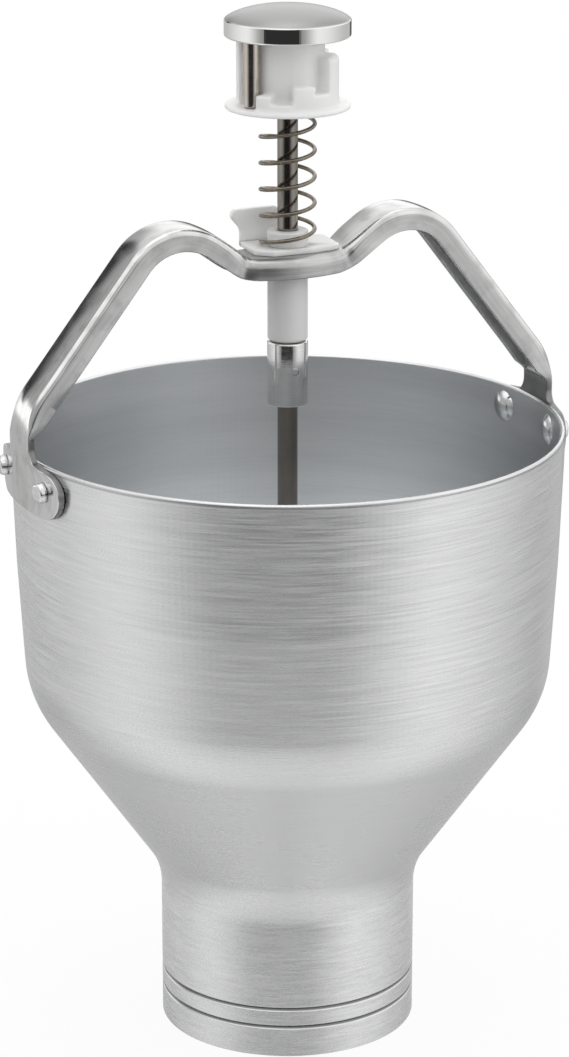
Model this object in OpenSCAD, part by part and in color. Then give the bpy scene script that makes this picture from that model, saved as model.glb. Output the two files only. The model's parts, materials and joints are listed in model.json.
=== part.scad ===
// Hand-held batter depositor. A spun hopper hangs from a bent channel handle, a sprung plunger
// runs down its axis, and a stepped dial under the thumb cap sets how far the plunger travels.
// Millimetres, +Z up. The origin is the middle of the outlet's lower edge.

/* [Hopper] */
// Outer radius at the rim
rim_r = 86; // [80:1:95]
// Height of the rim above the outlet
rim_z = 195.6; // [185:0.2:210]
// Outer radius where the cone meets the wall
wall_foot_r = 82; // [76:0.5:84]
// Height where the cone meets the wall
wall_foot_z = 111.1; // [100:0.5:120]
// How far the middle of the wall stands out of the straight line
wall_bow = 1; // [0.4:0.1:2]
// Outer radius of the neck
neck_r = 40.5; // [38:0.25:44]
// Height where the neck meets the cone
neck_top_z = 51.9; // [46:0.5:58]
// Thickness of the sheet
sheet = 1.5; // [1:0.1:2]
// Outer radius of the bend from cone to wall
shoulder_bend = 34; // [25:1:40]
// Outer radius of the bend from neck to cone
throat_bend = 25.7; // [18:0.5:32]
// Height of the lower rolled groove
groove_z = 9.8; // [8:0.2:11]
// Distance between the two rolled grooves
groove_pitch = 6.1; // [4.5:0.1:7]
// Depth of a rolled groove
groove_depth = 0.45; // [0.2:0.05:0.7]

/* [Handle] */
// Thickness of the handle's sheet
strip = 2.2; // [1.6:0.1:2.6]
// Width of the channel
channel_w = 15.9; // [14.5:0.1:18]
// Depth of the channel's flanges
channel_d = 6.7; // [5.5:0.1:8]
// Outer radius of the channel's two folds
fold_r = 3.2; // [2.8:0.1:4]
// Height of the saddle's top face
saddle_z = 251; // [246:0.5:258]
// Half the length of the flat saddle
saddle_half = 15.1; // [14:0.1:17]
// Slope of the handle beside the saddle, in degrees
rise_slope = 35.3; // [30:0.1:39]
// Slope of the arms, in degrees
arm_slope = 52.2; // [50:0.1:56]
// Outer radius of the arches
arch_bend = 20.5; // [15:0.5:23]
// Radius of the bend between saddle and arch
saddle_bend = 10; // [6:1:12]
// Radius of the bend above the lug
lug_bend = 26; // [16:1:28]
// Height at which the arm's outer face would meet the lug's
arm_foot_z = 208.8; // [206:0.2:211]
// How far the saddle's sides bulge round the bush
saddle_bulge = 3.2; // [2:0.1:3.8]
// Radius of the lug's round ends
lug_end_r = 8.5; // [7.5:0.25:9]
// Radius of the hollow corners between lug and arm
lug_hollow = 5; // [3:0.5:6]

/* [Rivets] */
// Height of the rivets
rivet_z = 188.5; // [187:0.25:190]
// Angle from the handle's middle to each rivet, in degrees
rivet_turn = 10.5; // [9.5:0.25:11.5]
// Radius of a rivet's shank
rivet_r = 2.5; // [2:0.1:2.8]
// Radius of the domed head inside the hopper
rivet_dome_r = 5; // [4:0.25:6]
// Height of the domed head
rivet_dome_h = 2; // [1.5:0.1:2.5]
// Radius of the formed head outside
rivet_head_r = 3.2; // [3:0.1:4]
// Height of the formed head
rivet_head_h = 2.3; // [1.8:0.1:3.2]

/* [Guide bush] */
// Outer radius of the bush's tube
bush_r = 6.2; // [5:0.1:7]
// Length of the tube below the saddle's top face
bush_drop = 28; // [22:0.5:32]
// Height of the round boss above the saddle's top face
boss_h = 6.5; // [4:0.25:7]
// Thickness of the bush's plate
bush_plate = 2; // [1.5:0.1:2.5]
// Height of the curled tail above the saddle's top face
tail_h = 11.6; // [9:0.2:12]
// Thickness of the tail
tail_t = 2; // [1.5:0.1:2.5]

/* [Plunger] */
// Radius of the push rod
rod_r = 3.15; // [2.5:0.05:3.5]
// Running clearance of the rod in its bush and in the dial
running_fit = 0.05; // [0.02:0.01:0.1]
// Clearance between pieces that are fixed together
seat_fit = 0.02; // [0.01:0.01:0.05]
// Gap that moving pieces keep at rest
rest_gap = 0.3; // [0.2:0.05:0.5]
// Radius of the stop collar
collar_r = 6.3; // [5.5:0.1:7]
// Length of the stop collar
collar_h = 20.1; // [15:0.1:24]
// Radius of the collar's cross pin
cross_pin_r = 1.15; // [0.8:0.05:1.5]
// Distance from the collar's top to its cross pin
cross_pin_drop = 8.7; // [5:0.1:11]

/* [Thumb cap] */
// Radius of the cap
cap_r = 19.2; // [17:0.1:22]
// Height of the cap's underside
cap_z = 317; // [315:0.2:322]
// Height of the cap's straight side
cap_side = 4.9; // [4.6:0.1:6]
// Height of the cap's dome
cap_dome = 4.4; // [3.6:0.1:6]
// Radius of the index pin
index_r = 2.5; // [1.8:0.1:2.5]
// Distance of the index pin from the axis
index_reach = 13.9; // [13.9:0.05:14.2]
// Angle of the index pin, in degrees
index_turn = 195.6; // [190:0.2:195.6]

/* [Portion dial] */
// Radius of the dial's flange
dial_flange_r = 19.1; // [17:0.1:21]
// Thickness of the flange
dial_flange_h = 1.55; // [1.2:0.05:2]
// Radius of the stepped crown
crown_r = 15.5; // [15.2:0.1:17]
// Radius of the hub above the crown's steps
hub_r = 11.1; // [10.5:0.1:11.1]
// Drop from the cap's underside to the dial's flange
dial_drop = 20.4; // [19:0.1:22]

/* [Return spring] */
// Radius of the wire
wire_r = 0.65; // [0.5:0.05:0.8]
// Mean radius of the coils
coil_r = 8.3; // [8:0.1:8.6]
// Number of turns
coil_turns = 5; // [4:1:7]
// Angle of the lower end, in degrees
coil_start = 156.5; // [120:0.5:180]

/* [Outlet] */
// Radius of the outlet's bore
outlet_r = 27; // [24:0.5:29]
// Height of the outlet ring's lower face
outlet_z = 0.5; // [0.3:0.1:1]
// Height of the outlet ring
outlet_h = 23.5; // [22:0.5:25]
// Drop of the ring's sloping top
outlet_slope = 8; // [5:0.5:9]
// Thickness of the ring's upper lip
outlet_lip = 1.2; // [0.8:0.1:2]
// Running clearance of the plunger's discs in the bore
bore_gap = 0.3; // [0.2:0.05:0.5]
// Height of the cutter disc's straight edge
cutter_edge = 2.5; // [1.5:0.25:3.5]
// Full height of the cutter disc
cutter_h = 9; // [8.5:0.25:10]
// Radius of the discs' hubs
disc_hub_r = 7.6; // [7.3:0.1:9]
// Outer radius of the spacer tube
spacer_r = 4.8; // [4:0.1:6]
// Length of the spacer tube
spacer_h = 14.5; // [13:0.5:16]
// Height of the piston's straight edge
piston_edge = 7; // [6:0.25:8]
// Full height of the piston
piston_h = 10; // [9:0.25:12]
// Height of the piston seal
seal_h = 3.1; // [2.5:0.1:4]
// Depth of the seal's groove
seal_depth = 3; // [2.5:0.1:4]
// Thickness of the nuts
nut_h = 5; // [4:0.25:5.2]
// Width of the nuts across their flats
nut_flats = 10; // [9:0.25:10.5]
// Radius of the lock washer
washer_r = 6.25; // [5.5:0.25:6.5]
// Thickness of the lock washer
washer_h = 1.2; // [0.8:0.1:1.4]

/* [Hidden] */
$fn = 96;
arc_steps = 16;      // straight pieces in each fillet of an outline
thin = 0.01;         // overlap that joins or opens two faces
big = 200;           // longer than any piece that it cuts

// Hopper: one line from the outlet up to the rim, with the radius of the bend in each corner
groove_half = 1.2;
bow_r = (wall_foot_r + rim_r) / 2 + wall_bow;
bow_z = (wall_foot_z + rim_z) / 2;
bow_bend = 1300;
rim_end_z = rim_z - sheet / 2;
function groove_corners(z) =
    [[neck_r, z - groove_half], [neck_r - groove_depth, z], [neck_r, z + groove_half]];
hopper_line = concat([[neck_r, 0]], groove_corners(groove_z), groove_corners(groove_z + groove_pitch),
    [[neck_r, neck_top_z], [wall_foot_r, wall_foot_z], [bow_r, bow_z], [rim_r, rim_end_z]]);
hopper_bends = [0, 2, 0.5, 2, 2, 0.5, 2, throat_bend, shoulder_bend, bow_bend, 0];
neck_corners = 7;    // corners of the line that lie on the neck
wall_tilt = atan((rim_r - bow_r) / (rim_end_z - bow_z));
function wall_r_at(z) = rim_r - (rim_end_z - z) * tan(wall_tilt);

// Handle: the outer face of one half, from the saddle's middle to the lug, seen from the front
lug_gap = 0.05;
web_proud = 0.1;     // the arm's web stands a little outside the curved lug
lug_foot_z = rivet_z - lug_end_r;
lug_top_z = rivet_z + lug_end_r;
lug_plate_z = lug_top_z + lug_hollow;
lug_end_turn = 20;
lug_lip = 0.15;      // flange that is left where the arm runs out into the lug
fold_end = 0.4;      // outer radius of a fold that has run out
function lug_face(z) = wall_r_at(z) + lug_gap + strip;
arm_foot = [lug_face(arm_foot_z) + web_proud, arm_foot_z];
rise = [cos(rise_slope), sin(rise_slope)];
fall = [cos(arm_slope), -sin(arm_slope)];
down = [-sin(wall_tilt), -cos(wall_tilt)];
arch_corner = meet([saddle_half, saddle_z], rise, arm_foot, fall);
handle_line = [[0, saddle_z], [saddle_half, saddle_z], arch_corner, arm_foot, arm_foot + 20 * down];
handle_bends = [0, saddle_bend, arch_bend, lug_bend, 0];
under_corner = moved(handle_line, -channel_d)[2];
foot_turn = 90 + wall_tilt - arm_slope;
arm_end = arm_foot + down * (lug_bend * tan(foot_turn / 2) + 0.5);
saddle_flat = saddle_half - saddle_bend * tan(rise_slope / 2);
bulge_half_w = channel_w / 2 + saddle_bulge;
bulge_r = (pow(saddle_half, 2) + pow(saddle_bulge, 2)) / (2 * saddle_bulge);

// Guide bush, plunger and dial
bush_foot_z = saddle_z - bush_drop;
plate_z = saddle_z + bush_plate;
tail_y = coil_r + wire_r + rest_gap;
tail_foot = bush_r * [-1.85, 1.53];
tail_tip_r = 0.32 * bush_r;
collar_top_z = bush_foot_z - rest_gap;
cross_pin_z = collar_top_z - cross_pin_drop;
rod_foot_z = outlet_z + 0.1;
rod_top_z = cap_z + 4.4;
dial_z = cap_z - dial_drop;
blind_rod = 4.6;     // depth of the cap's bore for the rod
blind_pin = 4;       // depth of the cap's bore for the index pin
edge_r = 0.6;        // small rounding on turned edges
dome_fill = 2.18;    // powers of the dome's curve, which is fuller than a ball's
dome_fall = 1.38;
dial_foot_z = dial_z - dial_flange_h;
hub_top_z = cap_z - rest_gap;
// Walls of the crown: start angle, end angle, height above the flange and radius of the top's outer
// corner. The last is full height.
walls = [[207.5, 226.5, 4.5, 0.6], [253.5, 279.5, 7.3, 0.6], [301.5, 346.5, 15, 2],
    [371.5, 396.5, 15, 0.6], [421.5, 446.5, 17.4, 0.6], [476.5, 533.5]];
// Floors of the pockets, each of which runs from one wall to the next
floors = [1.8, 4.5, 7.6, 10.6, 13.6, 0];
wall_lap = 1;        // degrees by which the cut over a wall runs into its pockets
corner_over = 0.06;  // how far a corner's curve runs past the crown
hub_step = 0.15;     // how far the hub stands out over a wall

// Outlet and discs, from the bottom up
disc_r = outlet_r - bore_gap;
bore_top_z = outlet_z + outlet_h - outlet_slope;
nut_seat_z = rod_foot_z + nut_h;
washer_seat_z = nut_seat_z + washer_h;
cutter_top_z = outlet_z + cutter_h;
piston_foot_z = cutter_top_z + spacer_h;
piston_top_z = piston_foot_z + piston_h;
seal_foot_z = piston_foot_z + (piston_edge - seal_h) / 2;
recess_r = disc_hub_r - 0.9;
spring_foot_z = plate_z + wire_r + 0.05;
spring_top_z = dial_foot_z - wire_r - 0.05;

function unit(v) = v / norm(v);
function left_of(v) = [-v.y, v.x];
// The point where a line through p along u crosses a line through q along v
function meet(p, u, q, v) = p + u * cross(q - p, v) / cross(u, v);
// A path of straight stretches moved d to its left
function moved(path, d) = [for (i = [0:len(path) - 1])
    let(a = min(i, len(path) - 2), b = max(i - 1, 0),
        m = left_of(unit(path[b + 1] - path[b])), n = left_of(unit(path[a + 1] - path[a])))
    path[i] + (m + n) * d / (1 + m * n)];
function turn_side(a, b, c) = sign(cross(b - a, c - b));
// The bends of the moved path, tighter on the inside of each corner
function moved_bends(path, bends, d) = [for (i = [0:len(path) - 1])
    bends[i] == 0 ? 0 : bends[i] - d * turn_side(path[i - 1], path[i], path[i + 1])];
// Points of a bend of radius r in corner b
function bend(a, b, c, r, steps = arc_steps) =
    let(u = unit(a - b), v = unit(c - b), half = acos(u * v) / 2,
        centre = b + unit(u + v) * r / sin(half),
        p = b + u * r / tan(half) - centre, q = b + v * r / tan(half) - centre,
        start = atan2(p.y, p.x), turn = atan2(cross(p, q), p * q))
    [for (i = [0:steps]) let(t = start + turn * i / steps) centre + r * [cos(t), sin(t)]];
function rounded(path, bends) = [for (i = [0:len(path) - 1])
    each bends[i] == 0 ? [path[i]] : bend(path[i - 1], path[i], path[i + 1], bends[i])];
function reversed(list) = [for (i = [len(list) - 1:-1:0]) list[i]];
function arc(centre, r, from, to, steps = arc_steps) =
    [for (i = [0:steps]) let(t = from + (to - from) * i / steps) centre + r * [cos(t), sin(t)]];
// A closed outline with the same bend in every corner
function closed_round(pts, r) = let(n = len(pts))
    [for (i = [0:n - 1]) each bend(pts[(i + n - 1) % n], pts[i], pts[(i + 1) % n], r, 8)];

// ---- Hopper ----
function sheet_line(path, bends, d) = rounded(moved(path, d), moved_bends(path, bends, d));

module hopper() {
    outer = rounded(hopper_line, hopper_bends);
    inner = sheet_line(hopper_line, hopper_bends, sheet);
    rim_centre = (outer[len(outer) - 1] + inner[len(inner) - 1]) / 2;
    rim_roll = arc(rim_centre, sheet / 2, -wall_tilt, 180 - wall_tilt, 10);
    color("gainsboro") difference() {
        rotate_extrude() polygon(concat(outer, rim_roll, reversed(inner)));
        for (side = [0, 1], end = [-1, 1]) at_rivet(side, end)
            cylinder(r = rivet_r + running_fit, h = 6 * sheet, center = true);
    }
}

// A nylon ring in the neck, held by the beads that the rolled grooves raise inside it
module outlet_ring() {
    neck = [for (i = [0:neck_corners - 1]) hopper_line[i]];
    path = concat([[neck_r, outlet_z]], [for (i = [1:neck_corners - 1]) neck[i]],
        [[neck_r, outlet_z + outlet_h]]);
    bends = concat([for (i = [0:neck_corners - 1]) hopper_bends[i]], [0]);
    outside = sheet_line(path, bends, sheet + running_fit);
    lip_r = neck_r - sheet - running_fit - outlet_lip;
    color("whitesmoke") rotate_extrude() polygon(concat(outside,
        [[lip_r, outlet_z + outlet_h], [outlet_r + 1, bore_top_z + 0.6], [outlet_r, bore_top_z - 0.4],
         [outlet_r, outlet_z]]));
}

// ---- Handle ----
// Stations along the outer face of one half, each a point and a heading
function bend_stations(i, steps) =
    let(p = handle_line, into = p[i] - p[i - 1], out = p[i + 1] - p[i],
        from = atan2(into.y, into.x), to = atan2(out.y, out.x),
        pts = bend(p[i - 1], p[i], p[i + 1], handle_bends[i], steps))
    [for (k = [0:steps]) [pts[k], from + (to - from) * k / steps]];
half_stations = concat([for (k = [0:6]) [[saddle_flat * k / 7, saddle_z], 0]],
    bend_stations(1, 5), bend_stations(2, 14), bend_stations(3, 8), [[arm_end, atan2(down.y, down.x)]]);
all_stations = concat(reversed(half_stations),
    [for (i = [1:len(half_stations) - 1]) let(s = half_stations[i]) [[-s[0].x, s[0].y], -s[1]]]);

// The flange ends on a straight lower edge that the arm's bend above the lug runs into
function flange_depth(p, heading) = let(n = left_of([cos(heading), sin(heading)]))
    max(strip + lug_lip, min(channel_d, (meet(p, -n, under_corner, fall) - p) * -n));
// Share of the wall's curve that the arm has taken on at a heading
function curl(heading) = min(1, max(0, (-heading - arm_slope) / foot_turn));
function half_width(x) = abs(x) >= saddle_half ? channel_w / 2 :
    sqrt(bulge_r * bulge_r - x * x) - bulge_r + bulge_half_w;

// The channel's section, u across and v outwards: down one side, over the top and back inside
function channel_section(w, d) =
    let(r = min(fold_r, d - strip + fold_end), q = max(min(0.2, d - strip - 0.05), r - strip))
    concat([[w, -d]], arc([w - r, -r], r, 0, 90, 4), arc([r - w, -r], r, 90, 180, 4),
        [[-w, -d], [strip - w, -d]], arc([strip + q - w, -strip - q], q, 180, 90, 4),
        arc([w - strip - q, -strip - q], q, 90, 0, 4),
        [[w - strip, -d]]);
function ring_at(station) = let(p = station[0], a = abs(p.x) == p.x ? station[1] : -station[1],
        side = p.x < 0 ? -1 : 1, n = left_of([cos(a), sin(a)]), q = [abs(p.x), p.y])
    [for (c = channel_section(half_width(p.x), flange_depth(q, a)))
        let(v = c.y - curl(a) * c.x * c.x / (2 * lug_face(lug_top_z)))
        [side * (q.x + v * n.x), c.x, q.y + v * n.y]];

// A closed skin over rings of points. A ring's second half runs back beside its first half, so
// each end is filled by strips between the two.
module skinned(rings) {
    n = len(rings[0]);
    last = (len(rings) - 1) * n;
    sides = [for (i = [0:n:last - n], s = [0:n - 1]) let(t = (s + 1) % n)
        each [[i + s, i + t, i + n + s], [i + t, i + n + t, i + n + s]]];
    ends = [for (k = [0:n / 2 - 2]) let(m = n - 1 - k)
        each [[k, m, k + 1], [m, m - 1, k + 1], [last + k, last + k + 1, last + m],
            [last + m, last + k + 1, last + m - 1]]];
    polyhedron([for (r = rings) each r], concat(sides, ends));
}

// The lug in front view, wide round the rivets and hollowed up into the arm
module lug_outline() {
    pitch = lug_face(rivet_z) * sin(rivet_turn);
    neck = channel_w / 2;
    hollow = [neck + lug_hollow, lug_top_z + lug_hollow];
    right = concat(arc([pitch, rivet_z], lug_end_r, -90, 90, 14),
        arc(hollow, lug_hollow, 270, 180, 8), [[neck, arm_foot_z]]);
    polygon(concat(right, reversed([for (p = right) [-p.x, p.y]])));
}

module lug() intersection() {
    rotate([0, 0, -lug_end_turn]) rotate_extrude(angle = 2 * lug_end_turn)
        polygon([[lug_face(lug_foot_z) - strip, lug_foot_z - 1], [lug_face(lug_foot_z), lug_foot_z - 1],
            [lug_face(lug_top_z), lug_plate_z], [lug_face(lug_top_z) - strip, lug_plate_z]]);
    translate([rim_r - 20, 0, 0]) rotate([90, 0, 90]) linear_extrude(40) lug_outline();
}

module handle() color("silver") difference() {
    union() {
        skinned([for (s = all_stations) ring_at(s)]);
        for (side = [0, 1]) mirror([side, 0, 0]) lug();
    }
    translate([0, 0, saddle_z - channel_d]) cylinder(r = bush_r + running_fit, h = big);
    for (side = [0, 1], end = [-1, 1]) at_rivet(side, end)
        cylinder(r = rivet_r + running_fit, h = 6 * strip, center = true);
}

// ---- Rivets: the local +z axis points out through the wall ----
module at_rivet(side, end) rotate([0, 0, 180 * side + end * rivet_turn])
    translate([wall_r_at(rivet_z), 0, rivet_z]) rotate([0, 90 + wall_tilt, 0]) children();

module rivet() {
    head_z = lug_gap + strip + seat_fit;
    sag = rivet_dome_r * rivet_dome_r / (2 * (wall_r_at(rivet_z) - sheet));
    dome_z = -sheet - sag - seat_fit;
    ball_r = (pow(rivet_dome_r, 2) + pow(rivet_dome_h, 2)) / (2 * rivet_dome_h);
    ball_turn = asin(rivet_dome_r / ball_r);
    color("silver") rotate_extrude() polygon(concat([[0, dome_z - rivet_dome_h]],
        arc([0, dome_z - rivet_dome_h + ball_r], ball_r, -90, -90 + ball_turn, 8),
        [[rivet_r, dome_z], [rivet_r, head_z], [rivet_head_r, head_z],
         [rivet_head_r, head_z + rivet_head_h * 0.35], [rivet_head_r - 0.25, head_z + rivet_head_h * 0.45]],
        arc([rivet_head_r - 1.2, head_z + rivet_head_h - 0.9], 0.9, 0, 90, 6),
        [[0, head_z + rivet_head_h]]));
}

// ---- Guide bush ----
module guide_bush() {
    rod_hole = rod_r + running_fit;
    color("whitesmoke") difference() {
        union() {
            translate([0, 0, bush_foot_z]) cylinder(r1 = bush_r - edge_r, r2 = bush_r, h = edge_r);
            translate([0, 0, bush_foot_z + edge_r])
                cylinder(r = bush_r, h = bush_drop + bush_plate - edge_r);
            translate([0, 0, saddle_z]) cylinder(r = bush_r + 0.1, h = boss_h);
            intersection() {
                translate([0, 0, saddle_z]) linear_extrude(bush_plate) bush_plan();
                rotate([90, 0, 0]) linear_extrude(big, center = true) plate_side();
            }
            translate([0, tail_y + tail_t, saddle_z]) rotate([90, 0, 0]) linear_extrude(tail_t) tail_side();
        }
        translate([0, 0, bush_foot_z - 1]) cylinder(r = rod_hole, h = big);
    }
}

// The plate from above, in radii of the tube: a rounded body under the spring, a tab to the right
// and a foot for the tail
module bush_plan() difference() {
    back = tail_y + tail_t;
    front = bush_r * [[-2, -0.48], [-1.21, -1.19], [0.9, -1.19], [2.45, -0.89], [2.52, 1.37]];
    polygon(closed_round(concat([[tail_foot[0], back]], front, [[tail_foot[1], back]]), 0.23 * bush_r));
    polygon(bush_r * [[0.87, -0.71], [1.45, -0.42], [0.9, -0.06]]);
}

// The plate from the front: its ends lift with the saddle's bends
module plate_side() {
    right = arc([saddle_flat, saddle_z + saddle_bend], saddle_bend - lug_gap, -90, 0, 24);
    left = reversed([for (p = right) [-p.x, p.y]]);
    polygon(concat([[-saddle_flat, saddle_z], [saddle_flat, saddle_z]], right, left));
}

// The curled tail from the front, narrow at its waist and swept out to a round tip
module tail_side() {
    tip = [-2.03 * bush_r, tail_h - tail_tip_r];
    foot = [tail_foot[0], 0];
    waist = [tail_foot[0], 0.48 * tail_h];
    right = [[-0.97, 1.02], [0, 1], [0.68, 0.78], [1.19, 0.4], [1.53, 0.22], [1.53, 0]];
    polygon(concat([foot], bend(foot, waist, tip + tail_tip_r * [-0.9, -0.6], 0.65 * bush_r),
        arc(tip, tail_tip_r, 215, 110, 6), [for (p = right) [p.x * bush_r, p.y * tail_h]]));
}

// ---- Return spring ----
module return_spring() {
    rings = 24 * coil_turns;
    climb = (spring_top_z - spring_foot_z) / rings;
    color("darkgray") skinned([for (i = [0:rings]) let(t = coil_start + 360 * coil_turns * i / rings)
        [for (a = [0:45:315]) let(reach = coil_r + wire_r * cos(a))
            [reach * cos(t), reach * sin(t), spring_foot_z + i * climb + wire_r * sin(a)]]]);
}

// ---- Plunger ----
module cross_pin_axis() translate([0, 0, cross_pin_z]) rotate([90, 0, 0]) children();

module push_rod() color("silver") difference() {
    union() {
        translate([0, 0, rod_foot_z]) cylinder(r1 = rod_r - edge_r, r2 = rod_r, h = edge_r);
        translate([0, 0, rod_foot_z + edge_r]) cylinder(r = rod_r, h = rod_top_z - rod_foot_z - edge_r);
    }
    cross_pin_axis() cylinder(r = cross_pin_r + seat_fit, h = big, center = true);
}

module stop_collar() {
    foot = collar_top_z - collar_h;
    hole = rod_r + seat_fit;
    color("silver") difference() {
        rotate_extrude() polygon([[hole, foot], [collar_r - 0.4, foot], [collar_r, foot + 0.4],
            [collar_r, collar_top_z - 0.4], [collar_r - 0.4, collar_top_z], [hole, collar_top_z]]);
        cross_pin_axis() cylinder(r = cross_pin_r + seat_fit, h = big, center = true);
    }
}

module collar_pin() color("gray") cross_pin_axis()
    cylinder(r = cross_pin_r, h = 2 * collar_r - 0.4, center = true);

// Height of the dome over its foot, at a share of the cap's radius
function dome_height(share) = cap_dome * pow(1 - pow(share, dome_fill), 1 / dome_fall);

module thumb_cap() {
    side_top = cap_z + cap_side;
    color("silver") difference() {
        rotate_extrude() polygon(concat([[0, cap_z]],
            arc([cap_r - edge_r, cap_z + edge_r], edge_r, -90, 0, 6),
            [for (t = [0:3:90]) [cap_r * cos(t), side_top + dome_height(cos(t))]]));
        translate([0, 0, cap_z - 1]) cylinder(r = rod_r + seat_fit, h = 1 + blind_rod);
        index_axis(cap_z - 1) cylinder(r = index_r + seat_fit, h = 1 + blind_pin);
    }
}

module index_axis(z) rotate([0, 0, index_turn]) translate([index_reach, 0, z]) children();

module index_pin() color("silver") {
    foot = dial_z + rest_gap;
    chamfer = 0.4;
    index_axis(foot) cylinder(r1 = index_r - chamfer, r2 = index_r, h = chamfer);
    index_axis(foot + chamfer) cylinder(r = index_r, h = cap_z + blind_pin - 0.2 - foot - chamfer);
}

// ---- Portion dial ----
// A stretch of a ring between two angles
module ring_part(from, to, inner_r, outer_r, z, h) rotate([0, 0, from]) rotate_extrude(angle = to - from)
    translate([inner_r, z]) square([outer_r - inner_r, h]);

// What is cut away over a wall
module over_wall(wall) rotate([0, 0, wall[0] - wall_lap])
    rotate_extrude(angle = wall[1] - wall[0] + 2 * wall_lap)
        translate([0, dial_z + wall[2]]) polygon(concat([[hub_r + hub_step, 0]],
            arc([crown_r + corner_over - wall[3], -wall[3]], wall[3], 90, 0, 6),
            [[crown_r + 2, -wall[3]], [crown_r + 2, big], [hub_r + hub_step, big]]));

// A full crown, cut down to each wall's height, and then to the pockets' floors
module portion_dial() color("whitesmoke") difference() {
    bore = rod_r + running_fit;
    last = len(walls) - 1;
    rotate_extrude() polygon([[bore, dial_foot_z], [dial_flange_r - 0.3, dial_foot_z],
        [dial_flange_r, dial_foot_z + 0.3], [dial_flange_r, dial_z - 0.3], [dial_flange_r - 0.3, dial_z],
        [crown_r, dial_z], [crown_r, hub_top_z], [bore, hub_top_z]]);
    for (i = [0:last - 1]) over_wall(walls[i]);
    for (i = [0:last])
        ring_part(walls[i][1], i < last ? walls[i + 1][0] : walls[0][0] + 360,
            hub_r, crown_r + 1, dial_z + floors[i], 30);
}

// ---- Piston, cutter disc and what clamps them on the rod ----
module piston() {
    hole = rod_r + seat_fit;
    groove_r = disc_r - seal_depth;
    color("whitesmoke") rotate_extrude() polygon([[hole, piston_foot_z], [disc_r - 0.8, piston_foot_z],
        [disc_r - 0.5, piston_foot_z + 0.3], [disc_r - 0.5, seal_foot_z], [groove_r, seal_foot_z],
        [groove_r, seal_foot_z + seal_h], [disc_r - 0.5, seal_foot_z + seal_h],
        [disc_r - 0.5, piston_foot_z + piston_edge], [disc_hub_r + 1, piston_top_z], [hole, piston_top_z]]);
}

module piston_seal() {
    inner = disc_r - seal_depth + seat_fit;
    foot = seal_foot_z + seat_fit;
    top = seal_foot_z + seal_h - seat_fit;
    half = (top - foot) / 2;
    color("dimgray") rotate_extrude() polygon(concat([[inner, foot]],
        arc([disc_r - half, foot + half], half, -90, 90, 10), [[inner, top]]));
}

module spacer_tube() color("silver") translate([0, 0, cutter_top_z]) difference() {
    cylinder(r = spacer_r, h = spacer_h);
    translate([0, 0, -1]) cylinder(r = rod_r + seat_fit, h = spacer_h + 2);
}

module cutter_disc() {
    hole = rod_r + seat_fit;
    color("gainsboro") rotate_extrude() polygon([[hole, washer_seat_z], [recess_r, washer_seat_z],
        [recess_r, outlet_z], [disc_r, outlet_z], [disc_r, outlet_z + cutter_edge],
        [disc_hub_r + 4, cutter_top_z - 1.2], [disc_hub_r, cutter_top_z], [hole, cutter_top_z]]);
}

module lock_washer() color("darkgray") translate([0, 0, nut_seat_z]) difference() {
    cylinder(r = washer_r, h = washer_h);
    translate([0, 0, -1]) cylinder(r = rod_r + seat_fit, h = washer_h + 2);
}

module hex_nut(z) color("darkgray") translate([0, 0, z]) difference() {
    intersection() {
        cylinder(r = nut_flats / sqrt(3), h = nut_h, $fn = 6);
        rotate_extrude() polygon([[0, 0], [nut_flats / 2, 0], [nut_flats / sqrt(3), 0.5],
            [nut_flats / sqrt(3), nut_h - 0.5], [nut_flats / 2, nut_h], [0, nut_h]]);
    }
    translate([0, 0, -1]) cylinder(r = rod_r + seat_fit, h = nut_h + 2);
}

module end_nut() hex_nut(rod_foot_z);
module backing_nut() hex_nut(piston_top_z);

hopper();
outlet_ring();
handle();
at_rivet(1, 1) rivet();  // rivet_left_front
at_rivet(1, -1) rivet();  // rivet_left_rear
at_rivet(0, -1) rivet();  // rivet_right_front
at_rivet(0, 1) rivet();  // rivet_right_rear
guide_bush();
return_spring();
push_rod();
stop_collar();
collar_pin();
thumb_cap();
index_pin();
portion_dial();
piston();
piston_seal();
spacer_tube();
cutter_disc();
lock_washer();
end_nut();
backing_nut();
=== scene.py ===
"""Dresses the hand batter depositor: smooth turned and bent metal, moulded plastic, spring and studio."""

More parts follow.
